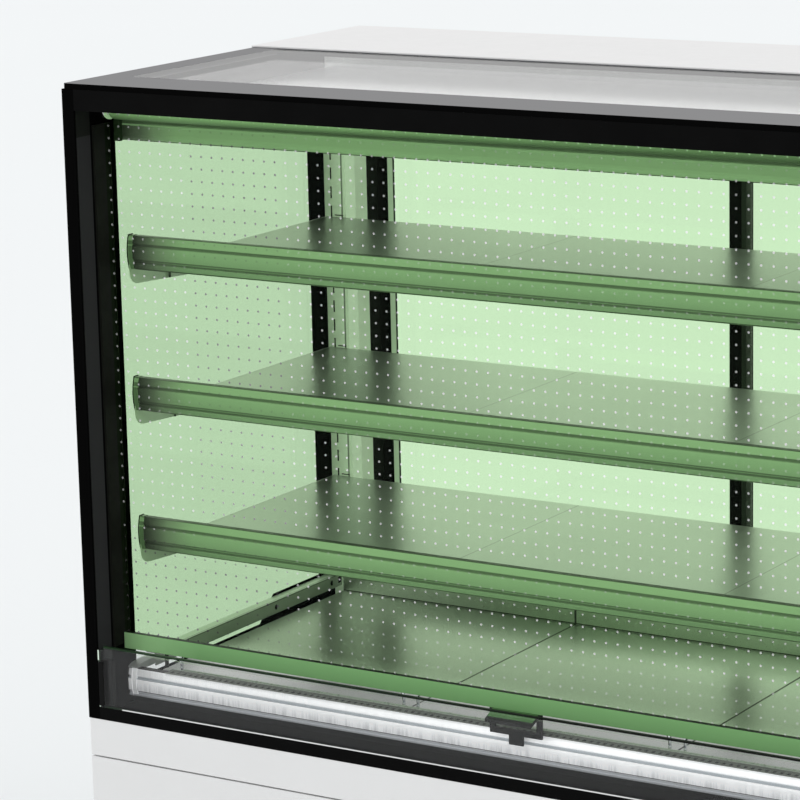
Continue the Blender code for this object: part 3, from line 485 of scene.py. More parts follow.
def film_finish():
    """Clear green film with a grid of whitish dots.

    The dots are darker before the left side, a painted dark reflection, and fainter before the
    rails, the apron and the lower edge, painted shade. They end at the rails' rims (brim).
    """
    s = Shader("blind_film_green")
    x, _, z = s.place()
    dots = dot_mask(s, x, z)
    # Painted shade: the dots are fainter before the rails, the apron and the lower edge, less so
    # near the left end.
    rail = between(s, down_rail(s, s.minus(z, 0.0135), RAIL_TOPS, RAIL_STEP), 0.0, 1.08, 0.02)
    apron = s.above(z, 1.262, 1.264)
    low = s.times(s.below(z, 0.583, 0.585), s.above(x, 0.19, 0.20))
    faint = s.most(s.most(rail, apron), s.times(low, 0.7))
    # Painted dark reflection: the dots in a column and a corner before the left side are darker.
    column = s.times(between(s, x, 0.166, 0.328, 0.002), s.ramp(z, 0.69, 1.0, 0.7, 1.0))
    corner = s.times(s.below(z, 0.672, 0.674), s.below(x, 0.310, 0.312))
    patch = s.most(column, corner)

    sheen = s.add("ShaderNodeBsdfGlossy", Color=(0.8, 1.0, 0.8), Roughness=0.12)
    through = s.add("ShaderNodeBsdfTransparent", Color=FILM_TINT)
    weight = s.times(grazing(s, FILM_IOR), 0.35)
    sheet = s.mix_shader(weight, through.outputs[0], sheen.outputs[0])
    clear_tone = s.mix_colour(patch, (0.97, 0.97, 0.97), (0.50, 0.48, 0.50))
    bare = s.add("ShaderNodeBsdfTransparent", Color=clear_tone)
    print_tone = s.mix_colour(patch, (0.95, 0.96, 0.95), (0.12, 0.11, 0.12))
    dot = s.mix_shader(0.40, bare.outputs[0], s.surface(print_tone, 0.5))

    ends = s.times(s.below(x, 0.070, 0.110), 0.55)
    weak = s.ramp(faint, 0.0, 1.0, 1.0, s.plus(ends, 0.28))
    height = down_rail(s, s.minus(z, 0.0105), RAIL_TOPS, RAIL_STEP)
    period = RAIL_STEP / RAIL_HIGH
    under = s.below(height, 0.04, 0.06)
    above = s.above(height, period - 0.14, period - 0.12)
    brim = s.times(s.most(under, above), s.below(z, 0.75, 0.76))
    strength = s.times(dots, s.times(weak, s.minus(1.0, brim)))
    return s.done(s.mix_shader(strength, sheet, dot))


def roll_finish():
    """The film wound on its tube, with the edge of its dot rows, and painted shade on its lower
    half and towards its right end.
    """
    s = Shader("blind_film_wound")
    x, _, z = s.place()
    near = s.math("ABSOLUTE", off_dot(s, x, DOT_X))
    row = between(s, z, 1.2955, 1.2985, 0.0003)
    dots = s.times(s.below(near, 0.05, 0.08), row)
    # Painted shade: darker on the lower half of the roll and towards its right end.
    shade = s.above(z, 1.2870, 1.3040)
    colour = s.mix_colour(shade, lin(112, 118, 110), lin(240, 246, 236))
    colour = s.mix_colour(s.ramp(x, 0.25, 1.15, 0.0, 0.55), colour, lin(60, 64, 58))
    colour = s.mix_colour(dots, colour, lin(225, 232, 222))
    return s.done(s.surface(colour, 0.35, specular=0.2))


def tab_finish():
    """The film tab that wraps the handle's grip."""
    s = Shader("film_tab_green")
    colour = s.mix_colour(s.noise(60.0), lin(84, 128, 76), lin(98, 146, 88))
    _, y, _ = s.place()
    grip = s.below(y, 0.0455, 0.0460)
    solid = s.surface(s.mix_colour(grip, colour, lin(10, 10, 10)), 0.3, specular=0.2)
    through = s.add("ShaderNodeBsdfTransparent", Color=(0.45, 0.75, 0.38))
    weight = s.times(s.minus(1.0, grip), 0.35)
    return s.done(s.mix_shader(weight, solid, through.outputs[0]))


def hem_finish():
    """Green hem with painted shade darkening its lower part, painted light brightening it towards
    its ends, and a dark upper edge.
    """
    s = Shader("hem_green")
    x, _, z = s.place()
    # Painted shade: the lower part is darker.
    shade = s.above(z, 0.4937, 0.5187)
    colour = s.mix_colour(shade, lin(96, 138, 86), lin(112, 158, 101))
    ends = s.from_end(x)
    # Painted light: brighter towards the ends.
    colour = s.mix_colour(s.ramp(ends, 0.03, 0.16, 0.9, 0.0), colour, lin(142, 184, 130))
    edge = s.above(z, 0.5178, 0.5184)
    colour = s.mix_colour(edge, colour, lin(18, 30, 15))
    rough = s.spread(s.noise(80.0), 0.32, 0.42)
    return s.done(s.surface(colour, rough, specular=0.2))


def price_rail_finish():
    """Grey rail with painted shade on the lower half of its face and in its grooves, a lighter line
    in the lower groove, and a painted reflection of the dark side border darkening its ends towards
    the brackets.
    """
    s = Shader("price_rail_grey")
    x, _, z = s.place()
    t = down_rail(s, z, RAIL_TOPS, RAIL_STEP)
    # Painted shade: the lower half of the face is darker.
    face = s.above(t, 0.30, 0.70)
    colour = s.mix_colour(face, lin(175, 176, 177), lin(155, 156, 158))
    # Painted shade in the two grooves, with a lighter line in the lower one.
    groove = s.most(between(s, t, 0.222, 0.312, 0.012), between(s, t, 0.697, 0.820, 0.012))
    line = between(s, t, 0.752, 0.768, 0.006)
    colour = s.mix_colour(groove, colour, lin(118, 118, 120))
    colour = s.mix_colour(line, colour, lin(158, 160, 160))
    rim = s.most(s.below(t, 0.010, 0.022), s.above(t, 0.972, 0.982))
    colour = s.mix_colour(s.times(rim, 0.9), colour, lin(34, 36, 34))
    ends = s.from_end(x)
    # Painted reflection of the dark side border: the ends fall off to a dark tone, tinted against
    # the film's green.
    colour = s.mix_colour(s.ramp(ends, 0.050, 0.125, 0.85, 0.0), colour, lin(146, 128, 152))
    colour = s.mix_colour(s.ramp(ends, 0.036, 0.078, 0.80, 0.0), colour, lin(58, 50, 62))
    rough = s.spread(s.noise(90.0), 0.28, 0.36)
    return s.done(s.surface(colour, rough, 0.15, specular=0.3))


def nose_finish():
    """Bright aluminium nose: a drawn grain in its lower half with painted shade deepening towards
    the bottom, a painted highlight on its upper band, painted shade in its groove, a bright ridge
    line, a lip, dark edges, and a glow growing to the right that stands in for light.
    """
    s = Shader("nose_rail_brushed")
    x, _, z = s.place()
    t = down_rail(s, z, NOSE_TOP)
    streaks = s.noise(1.0, 3.0, (160.0, 8.0, 11.0), 0.7)
    fine = s.noise(1.0, 2.0, (1500.0, 20.0, 26.0), 0.6)
    # Painted shade: the grain darkens towards the bottom. Painted highlight: the upper band is
    # brighter.
    depth = s.times(s.ramp(t, 0.38, 0.70, 0.15, 1.0), s.ramp(streaks, 0.42, 0.64, 0.0, 0.55))
    base = s.mix_colour(s.above(t, 0.36, 0.66), lin(249, 250, 251), lin(222, 223, 225))
    colour = s.mix_colour(depth, base, lin(150, 153, 156))
    colour = s.mix_colour(s.ramp(fine, 0.35, 0.7, 0.0, 0.14), colour, lin(170, 173, 176))
    # Painted shade in the groove.
    groove = between(s, t, 0.262, 0.340, 0.02)
    colour = s.mix_colour(groove, colour, lin(150, 156, 160))
    ridge = between(s, t, 0.352, 0.375, 0.01)
    colour = s.mix_colour(ridge, colour, lin(253, 253, 253))
    line = between(s, t, 0.700, 0.742, 0.01)
    colour = s.mix_colour(line, colour, lin(60, 62, 64))
    lip = s.above(t, 0.746, 0.758)
    colour = s.mix_colour(lip, colour, lin(186, 189, 193))
    dark = s.most(s.above(t, 0.868, 0.878), s.below(t, 0.018, 0.030))
    colour = s.mix_colour(dark, colour, lin(26, 27, 27))
    # Painted light: a glow that grows to the right.
    along = s.above(x, 0.25, 0.72)
    upper = s.math("MULTIPLY_ADD", along, 0.23, 0.13)
    lower = s.math("MULTIPLY_ADD", along, 0.12, 0.30)
    glow = s.mix_float(s.above(t, 0.24, 0.36), upper, lower)
    glow = s.mix_float(lip, glow, 0.12)
    glow = s.mix_float(dark, glow, 0.0)
    rough = s.spread(streaks, 0.45, 0.35)
    normal = s.bump(fine, 0.05)
    return s.done(s.surface(colour, rough, 0.25, specular=0.4, normal=normal, glow=glow))


def bracket_finish():
    """Grey pressed bracket."""
    s = Shader("bracket_grey")
    colour = s.mix_colour(s.noise(25.0), lin(214, 206, 217), lin(226, 218, 229))
    return s.done(s.surface(colour, 0.4, 0.1, specular=0.3))


def frame_finish():
    """Bright satin metal of the rear frame, with white outer sides and a glow on its inner faces
    that stands in for light inside the case.
    """
    s = Shader("frame_grey")
    colour = s.clouded(s.noise(20.0), lin(236, 238, 236), lin(243, 245, 243))
    x, y, _ = s.place()
    inward = s.from_end(x)
    inner = s.above(inward, 0.0150, 0.0190)
    colour = s.mix_colour(inner, lin(220, 220, 220), colour)
    # Painted light: a glow on the inner faces, in front of the rear edge.
    glow = s.times(s.ramp(y, 0.7425, 0.7445, 0.23, 0.0), inner)
    rough = s.spread(s.noise(60.0), 0.50, 0.60)
    return s.done(s.surface(colour, rough, 0.05, specular=0.3, glow=glow))


def door_frame_finish():
    """Black door frame whose middle stile is a little lighter on the side that catches light."""
    s = Shader("door_frame_black")
    x, _, _ = s.place()
    across, _, _ = s.facing()
    side = s.times(s.above(across, 0.5, 0.7), between(s, x, 0.690, 0.735))
    base = s.mix_colour(s.noise(20.0), lin(7, 7, 7), lin(10, 10, 10))
    colour = s.mix_colour(side, base, lin(52, 56, 51))
    rough = s.spread(s.noise(60.0), 0.30, 0.40)
    return s.done(s.surface(colour, rough, specular=0.03))


def upright_finish():
    """Slotted upright: painted shade fills the slots, a painted shade line marks a fold beside its
    outer edge with a painted highlight next to it, and a glow outside the slots stands in for
    light.
    """
    s = Shader("upright_grey")
    x, y, _ = s.place()
    inward = s.from_end(x)
    colour = s.clouded(s.noise(20.0), lin(232, 234, 232), lin(240, 242, 240))
    # Painted shade: the slots are dark inside, and a dark line with a painted highlight beside it
    # marks the fold.
    depth = between(s, y, 0.6404, 0.6675, 0.0001)
    slots = s.times(between(s, inward, 0.0234, 0.0624, 0.0002), depth)
    fold = s.times(between(s, inward, 0.0543, 0.0572, 0.0003), 0.8)
    light = s.times(between(s, inward, 0.0520, 0.0540, 0.0003), 0.3)
    colour = s.mix_colour(light, colour, lin(255, 255, 255))
    colour = s.mix_colour(fold, colour, lin(70, 78, 68))
    colour = s.mix_colour(slots, colour, lin(4, 4, 4))
    # Painted light: a glow outside the slots.
    glow = s.times(s.minus(1.0, slots), 0.17)
    rough = s.spread(s.noise(60.0), 0.50, 0.60)
    return s.done(s.surface(colour, rough, 0.1, specular=0.2, glow=glow))


def side_rail_finish():
    """Grey support rail with painted light on its upper flange and painted shade in a dark line
    along its fold.
    """
    s = Shader("side_rail_grey")
    x, _, z = s.place()
    inward = s.from_end(x)
    colour = s.mix_colour(s.noise(25.0), lin(166, 170, 166), lin(178, 182, 178))
    # Painted light: the upper flange is lighter.
    flange = s.above(z, 0.4727, 0.4731)
    colour = s.mix_colour(flange, colour, lin(226, 230, 226))
    # Painted shade: a dark line along the fold and a crease on the flange.
    crease = s.times(flange, between(s, inward, 0.0345, 0.0358))
    fold = s.most(between(s, z, 0.4712, 0.4722), crease)
    colour = s.mix_colour(s.times(fold, 0.75), colour, lin(40, 44, 40))
    return s.done(s.surface(colour, 0.4, 0.25))


def satin(s, colour, rough_low, rough_high, metallic, glow=None):
    """Satin metal with a fine speckle."""
    speckle = s.noise(900.0, 2.0)
    rough = s.spread(speckle, rough_low, rough_high)
    normal = s.bump(speckle, 0.06)
    return s.done(s.surface(colour, rough, metallic, normal=normal, glow=glow))


def seams(s, x, half=0.0007):
    """Where the dark joints between the three panels are."""
    return s.most(*(between(s, x, joint - half, joint + half, 0.0002) for joint in JOINTS_X))


def deck_finish():
    """Satin grey shelf metal: joints between its panels, a dark front rim, painted shade on the top
    shelf and a painted dark reflection across the upper two shelves.
    """
    s = Shader("shelf_grey")
    x, y, z = s.place()
    colour = s.clouded(s.noise(3.0, 2.0), lin(198, 200, 199), lin(208, 210, 209))
    # Painted shade: the top shelf is darker.
    colour = s.mix_colour(s.ramp(z, 1.0, 1.01, 0.0, 0.35), colour, lin(150, 152, 151))
    colour = s.mix_colour(s.times(seams(s, x), 0.6), colour, lin(60, 62, 60))
    rim = s.below(y, 0.1212, 0.1222)
    # Painted dark reflection: a slanting band across the upper two shelves.
    dark_reflection = s.times(between(s, s.plus(x, s.times(y, 0.62)), 0.44, 0.66, 0.10), 0.55)
    dark_reflection = s.times(dark_reflection, s.above(z, 0.74, 0.76))
    colour = s.mix_colour(dark_reflection, colour, lin(150, 151, 150))
    colour = s.mix_colour(s.times(rim, 0.7), colour, lin(50, 52, 50))
    return satin(s, colour, 0.27, 0.35, 0.92)


def tray_finish():
    """Satin steel trays with dark joints, painted shade towards their front and in a crease along
    their rear, and a glow near their front and in a patch at the rear right that stands in for
    light.
    """
    s = Shader("tray_steel")
    x, y, z = s.place()
    colour = s.clouded(s.noise(2.5, 2.0), lin(198, 199, 198), lin(210, 211, 210))
    # Painted shade: darker towards the front.
    colour = s.mix_colour(s.ramp(y, 0.28, 0.48, 0.5, 0.0), colour, lin(172, 173, 172))
    # Painted shade in a crease along the rear, joined with the dark joints between the trays.
    crease = s.times(between(s, z, 0.4482, 0.4500, 0.0001), s.above(y, 0.615, 0.620))
    joint = s.most(seams(s, x, 0.0018), crease)
    colour = s.mix_colour(s.times(joint, 0.88), colour, lin(24, 25, 24))
    # Painted light: a glow near the front and in a patch at the rear right.
    front = s.times(s.ramp(y, 0.15, 0.25, 0.25, 0.20), s.below(y, 0.25, 0.31))
    rear = s.times(s.ramp(x, 0.52, 0.80, 0.0, 0.20), between(s, y, 0.46, 0.60, 0.04))
    rear = s.times(rear, s.below(z, 0.4480, 0.4482))
    return satin(s, colour, 0.26, 0.34, 0.8, glow=s.plus(front, rear))


def side_glass_finish():
    """Insulated side glass: a black border printed on its inner pane, and sealed edges. A lighter
    band of the border near the front is a painted sheen.
    """
    s = Shader("side_glass_unit")
    x, y, z = s.place()
    across, _, _ = s.facing()
    edge = s.below(s.math("ABSOLUTE", across), 0.4, 0.6)
    inward = s.from_end(x)
    inner = s.above(inward, 0.012, 0.014)
    front = s.below(y, 0.0955, 0.0963)
    back = s.above(y, 0.5972, 0.5980)
    top = s.above(z, 1.2900, 1.2908)
    step = s.ramp(y, 0.424, 0.464, 0.4375, 0.4778)
    bottom = s.below(s.minus(z, step), -0.0004, 0.0004)
    printed = s.most(s.most(back, top), bottom)
    border = s.most(s.times(printed, inner), s.most(front, edge))
    # Painted sheen: a lighter band of the border near the front, less light at the top.
    panel = between(s, y, 0.0040, 0.0365, 0.0006)
    panel = s.times(s.times(panel, inner), s.below(edge, 0.0, 0.5))
    tone = s.mix_colour(s.above(z, 1.2685, 1.2692), lin(52, 52, 53), lin(34, 36, 33))
    ink = s.surface(s.mix_colour(panel, lin(8, 8, 8), tone), 0.5, specular=0.0)
    pane = clear(s, (0.868, 0.878, 0.868), 0.7)
    return s.done(s.mix_shader(border, pane, ink))


def top_glass_finish():
    """Top glass with a grey printed border and black edges."""
    s = Shader("top_glass_printed")
    x, y, _ = s.place()
    _, _, upward = s.facing()
    side = s.below(s.from_end(x), 0.0506, 0.0514)
    front = s.below(y, 0.0996, 0.1004)
    edge = s.below(s.math("ABSOLUTE", upward), 0.4, 0.6)
    border = s.most(s.most(side, front), edge)
    colour = s.mix_colour(edge, lin(134, 134, 135), lin(8, 8, 8))
    ink = s.surface(colour, 0.5, specular=0.0)
    pane = clear(s, (0.97, 0.973, 0.971), 0.70)
    return s.done(s.mix_shader(border, pane, ink))


def front_glass_finish():
    """Clear low pane whose cut edges look dark green."""
    s = Shader("front_glass_clear")
    _, outward, _ = s.facing()
    x, _, z = s.place()
    face = s.above(s.math("ABSOLUTE", outward), 0.5, 0.7)
    below = s.below(z, 0.5094, 0.5102)
    middle = between(s, x, 0.031, WIDTH - 0.031)
    middle = s.times(middle, s.below(z, 0.5092, 0.5094))
    face = s.most(face, s.times(middle, s.above(z, 0.45, 0.46)))
    tone = s.mix_colour(s.above(x, 0.0, 0.8), lin(30, 52, 31), lin(12, 16, 12))
    edge = s.surface(tone, 0.3, specular=0.1)
    pane = clear(s, (0.985, 0.988, 0.986), 0.56)
    return s.done(s.mix_shader(s.times(face, below), edge, pane))


def door_glass_finish():
    """Clear glass of the rear doors."""
    s = Shader("door_glass_clear")
    return s.done(clear(s, (0.992, 0.994, 0.992), 0.6))


def canopy_finish():
    """Ceiling panel: white above, a grey apron with painted shade darkening its ends, and a dark
    lower edge.
    """
    s = Shader("canopy_grey")
    x, y, z = s.place()
    colour = s.clouded(s.noise(12.0), lin(238, 239, 238), lin(243, 244, 243))
    apron = s.below(y, 0.118, 0.124)
    front = s.times(apron, s.below(z, 1.2975, 1.2979))
    colour = s.mix_colour(front, colour, lin(190, 192, 190))
    ends = s.from_end(x)
    # Painted shade: the apron darkens towards its ends, tinted against the film's green.
    grey = s.times(s.ramp(ends, 0.060, 0.125, 0.85, 0.0), front)
    dark = s.times(s.ramp(ends, 0.030, 0.085, 0.85, 0.0), front)
    colour = s.mix_colour(grey, colour, lin(150, 134, 156))
    colour = s.mix_colour(dark, colour, lin(52, 46, 55))
    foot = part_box("canopy")[0].z
    edge = s.times(apron, s.below(z, foot + 0.0016, foot + 0.0022))
    colour = s.mix_colour(edge, colour, lin(26, 24, 28))
    return s.done(s.surface(colour, 0.42, specular=s.times(s.minus(1.0, edge), 0.3)))


def fins_finish():
    """Close upright fins of a heat exchanger, with painted shade in the gaps between them."""
    s = Shader("coil_fins")
    x, _, _ = s.place()
    cell = s.math("FRACT", s.over(x, 0.0042))
    ridge = s.math("ABSOLUTE", s.minus(cell, 0.5))
    # Painted shade in the gaps between the fins.
    colour = s.mix_colour(s.above(ridge, 0.1, 0.4), lin(60, 62, 64), lin(196, 198, 200))
    normal = s.bump(ridge, 0.6, 0.002)
    return s.done(s.surface(colour, 0.35, 0.8, normal=normal))


def lamp_finish():
    """Opal cover of the lamp."""
    s = Shader("lamp_opal")
    colour = s.mix_colour(s.noise(30.0), lin(236, 237, 232), lin(244, 245, 240))
    return s.done(s.surface(colour, 0.45))


def smoke_finish():
    """Smoky moulded plastic of the pull handle."""
    s = Shader("handle_smoke")
    colour = s.mix_colour(s.noise(90.0), lin(30, 31, 30), lin(38, 39, 38))
    solid = s.surface(colour, 0.30, specular=0.12)
    through = s.add("ShaderNodeBsdfTransparent", Color=(0.30, 0.36, 0.31))
    return s.done(s.mix_shader(0.10, solid, through.outputs[0]))


def cap_finish():
    """Clear moulded end caps of the price rails, with two painted highlight bands."""
    s = Shader("rail_cap_clear")
    _, _, z = s.place()
    t = down_rail(s, z, RAIL_TOPS, RAIL_STEP)
    colour = s.mix_colour(s.noise(60.0), lin(150, 154, 150), lin(166, 170, 166))
    # Painted highlights: two bright bands.
    bright = s.most(between(s, t, 0.02, 0.14, 0.01), between(s, t, 0.26, 0.29, 0.01))
    colour = s.mix_colour(s.times(bright, 0.85), colour, lin(246, 250, 246))
    solid = s.surface(colour, 0.12, specular=0.5)
    through = s.add("ShaderNodeBsdfTransparent", Color=(0.9, 0.93, 0.9))
    turned_away = s.add("ShaderNodeLayerWeight", Blend=0.35).outputs["Facing"]
    weight = s.ramp(turned_away, 0.1, 0.8, 0.35, 0.05)
    return s.done(s.mix_shader(weight, solid, through.outputs[0]))


def bead_finish():
    """Pale glazing bead, with a glow that stands in for light."""
    s = Shader("glazing_bead_pale")
    colour = s.mix_colour(s.noise(60.0), lin(226, 230, 226), lin(236, 240, 236))
    return s.done(s.surface(colour, 0.45, specular=0.3, glow=0.25))


def cap_white_finish():
    """Bright moulded end of the nose rail, with a glow that stands in for light."""
    s = Shader("nose_cap_white")
    colour = s.mix_colour(s.noise(60.0), lin(244, 245, 246), lin(250, 251, 252))
    return s.done(s.surface(colour, 0.25, glow=0.15))


def grille_finish():
    """Dark olive grey of the air grille, with painted shade below its slotted cover."""
    s = Shader("air_grille_grey")
    _, y, z = s.place()
    colour = s.mix_colour(s.noise(40.0), lin(112, 117, 110), lin(124, 129, 122))
    line = between(s, y, 0.0868, 0.0888)
    colour = s.mix_colour(s.times(line, 0.5), colour, lin(60, 63, 59))
    # Painted shade below the slotted cover.
    below = s.below(z, 0.4410, 0.4440)
    colour = s.mix_colour(below, colour, lin(20, 21, 20))
    rough = s.spread(s.noise(120.0), 0.45, 0.55)
    return s.done(s.surface(colour, rough, 0.1))


M = make_materials()


def slab(name, x0, x1, y0, y1, z0, z1, material, body="case", bevel=0.0):
    """A piece that is a plain block."""
    return add(name, block(x0, x1, y0, y1, z0, z1), M[material], body, bevel=bevel)


def paint(name, *nodes):
    """Gives CAD nodes a material."""
    for node in nodes:
        mesh = NODES[node].data
        mesh.materials.clear()
        mesh.materials.append(M[name])


PANELS = ("front_fascia", "front_lower_panel", "side_panel_left", "side_panel_right")
CRISP = ("rear_top_cover", "front_beam", "hem_bar", "pull_handle", "top_glass")
CRISP += ("rear_service_panel",)
paint("white", *PANELS, "rear_service_panel")
paint("cover", "rear_top_cover")
paint("black", "front_beam", "front_sill", "base_frame")
paint("door_black", "door_left_frame", "door_right_frame")
paint("side_glass", "side_glass_left", "side_glass_right")
paint("top_glass", "top_glass")
paint("front_glass", "front_glass")
paint("door_glass", "door_left_glass", "door_right_glass")
paint("canopy", "canopy")
paint("lamp", "led_lamp")
paint("frame_grey", "rear_frame")
paint("upright", "upright_left", "upright_right")
paint("side_rail", "side_rail_left", "side_rail_right")
paint("deck", *(f"shelf_deck_{n}" for n in SHELVES))
paint("bracket", *(f"shelf_bracket_{n}_{side}" for n in SHELVES for side in SIDES))
paint("rail", *(f"price_rail_{n}" for n in SHELVES))
paint("tray", *(f"deck_tray_{n}" for n in SHELVES))
paint("chrome", *(f"wire_fence_{n}" for n in SHELVES))
paint("nose", "nose_rail")
paint("grille", "air_grille")
paint("hem", "hem_bar")
paint("smoke", "pull_handle")
paint("insulation", "base_tub")
paint("fins", "evaporator_coil", "condenser_coil")
paint("fan", "evaporator_fan", "condenser_fan")
paint("machine", "compressor")
paint("box", "control_box")
paint("black_soft", "light_switch")
paint("rubber", *(f"foot_{end}_{side}" for end in ("front", "rear") for side in SIDES))
for width, eased in ((0.0012, PANELS), (0.0008, CRISP)):
    for node in eased:
        ease_edges(NODES[node], width)


# ---------------------------------------------------------------- night blind
def film_sheet():
    """The film as one flat sheet, a grid in the place of the part's film, which is hidden."""
    low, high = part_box("blind_film")
    width, height = high.x - low.x, high.z - low.z
    y = (low.y + high.y) / 2
    columns, rows = 24, 16
    bm = bmesh.new()
    grid = []
    for r in range(rows + 1):
        z = low.z + height * r / rows
        across = [low.x + width * c / columns for c in range(columns + 1)]
        grid.append([bm.verts.new((x, y, z)) for x in across])
    for r in range(rows):
        for c in range(columns):
            bm.faces.new((grid[r][c], grid[r][c + 1], grid[r + 1][c + 1], grid[r + 1][c]))
    film = make_object("film_sheet", bm, M["film"])
    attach(film, "case")
    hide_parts("blind_film")
    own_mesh(film)


def blind_roller():
    """The film wound on its tube, and at each end the roller's plate and cup and a film guide."""
    low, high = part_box("blind_roller")
    radius = (high.z - low.z) / 2
    cy, cz = (low.y + high.y) / 2 - SHIFT_Y, (low.z + high.z) / 2
    start, end = low.x - SHIFT_X, high.x - SHIFT_X
    pin, pin_length, tube, tube_length = 0.005, 0.009, radius * 0.93, 0.004
    half = [(0.0, 0.0), (pin, 0.0), (pin, pin_length), (tube, pin_length)]
    half += [(tube, pin_length + tube_length), (radius, pin_length + tube_length)]
    profile = [(r, start + along) for r, along in half]
    profile += [(r, end - along) for r, along in reversed(half)]
    wound = turned(profile, (0, cy, cz), "X", 48)
    roll = add("blind_roll", wound, M["roll"], "blind_tube", smooth=30)
    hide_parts("blind_roller")

    def bracket(side, flip):
        outline = rounded(cy - 0.018, cy + 0.016, cz - 0.015, cz + 0.020, 0.006)
        plate = prism(outline, "X", flip(0.0203), flip(0.0209))
        add(f"roller_plate_{side}", plate, M["black_soft"], smooth=30)
        cup = [(0.0, 0.0210), (radius * 1.02, 0.0210), (radius * 1.02, 0.0228)]
        cup += [(radius * 0.80, 0.0236), (0.0, 0.0236)]
        cup = turned([(r, flip(x)) for r, x in cup], (0, cy, cz), "X", 40)
        add(f"roller_cup_{side}", cup, M["cap_white"], smooth=30)
        guide = [(0.0205, 0.0400), (0.0238, 0.0400), (0.0238, 0.0420), (0.0222, 0.0420)]
        guide += [(0.0222, 0.0780), (0.0238, 0.0780), (0.0238, 0.0800), (0.0205, 0.0800)]
        strip = prism([(flip(x), y) for x, y in guide], "Z", 0.500, 1.282)
        add(f"film_guide_{side}", strip, M["guide"])
        closer = rounded(0.0930, 0.1008, 1.2530, 1.2960, 0.001)
        closer = prism(closer, "X", flip(0.0202), flip(0.0298))
        add(f"apron_end_{side}", closer, M["dark_strip"], smooth=30)

    both_sides(bracket)


def blind_fittings():
    """The tab over the grip, and above the ceiling's apron a grey strip of painted shadow under the
    roller and a bead.
    """
    tab = [(0.0636, 0.4928), (0.0636, 0.4936), (0.0402, 0.4840), (0.0402, 0.4832)]
    add("handle_tab", prism(tab, "X", 0.6635, 0.7365), M["tab"], "blind_carriage")
    start, stop = 0.031, WIDTH - 0.031
    # Painted shadow: a grey strip on the apron under the roller.
    slab("apron_shadow_strip", start, stop, 0.0996, 0.1007, 1.2800, 1.2958, "channel")
    slab("apron_bead", start, stop, 0.0992, 0.1007, 1.2764, 1.2790, "seal", bevel=0.0003)


film_sheet()
blind_roller()
blind_fittings()


# ---------------------------------------------------------------- shelves
def rail_section(front, top, height, grow):
    """Outline of a rail end cap that wraps the rail's bowed front."""
    depth, bow, steps = 0.0140, 0.0045, 8
    points = [(front + depth, top + grow)]
    for k in range(steps + 1):
        t = k / steps
        y = front + bow * (2 * t - 1) ** 2 - grow
        points.append((y, top + grow - (height + 2 * grow) * t))
    points += [(front + depth, top - height - grow)]
    return points


def rail_end(name, front, top, height, material, edge):
    """Moulded caps that wrap the ends of a rail, each with a line round its outside."""

    def ends(side, flip):
        cap = rail_section(front, top, height, 0.0007)
        cap = prism(cap, "X", flip(CAP_START), flip(CAP_END))
        add(f"{name}_{side}", cap, M[material], bevel=0.0005, smooth=35)
        outer = rail_section(front, top, height, 0.0016)
        inner = rail_section(front + 0.0006, top, height, 0.0005)
        rim = prism(outer + list(reversed(inner)), "X", flip(CAP_RIM), flip(CAP_START))
        add(f"{name}_rim_{side}", rim, M[edge], smooth=35)

    both_sides(ends)


def shelves():
    """Rail end caps, bracket pins and upright clips of each shelf."""
    for n in SHELVES:
        low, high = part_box(f"price_rail_{n}")
        front = low.y - SHIFT_Y - 0.0006
        rail_end(f"rail_cap_{n}", front, high.z, RAIL_HIGH, "cap", "gasket")
        deck = high.z - DECK_BELOW_RAIL

        def fittings(side, flip):
            radius, foot, head = 0.0018, deck - 0.0270, deck - 0.0180
            profile = [(0.0, foot), (radius, foot), (radius, head), (0.0, head)]
            pin = turned(profile, (flip(0.0330), 0.2000, 0), "Z", 16)
            add(f"bracket_pin_{n}_{side}", pin, M["machine"], smooth=30)
            a, b = sorted((flip(0.0425), flip(0.0574)))
            low_z, high_z = deck + 0.0020, deck + 0.0034
            slab(f"upright_clip_{n}_{side}", a, b, 0.6386, 0.6399, low_z, high_z, "machine")

        both_sides(fittings)


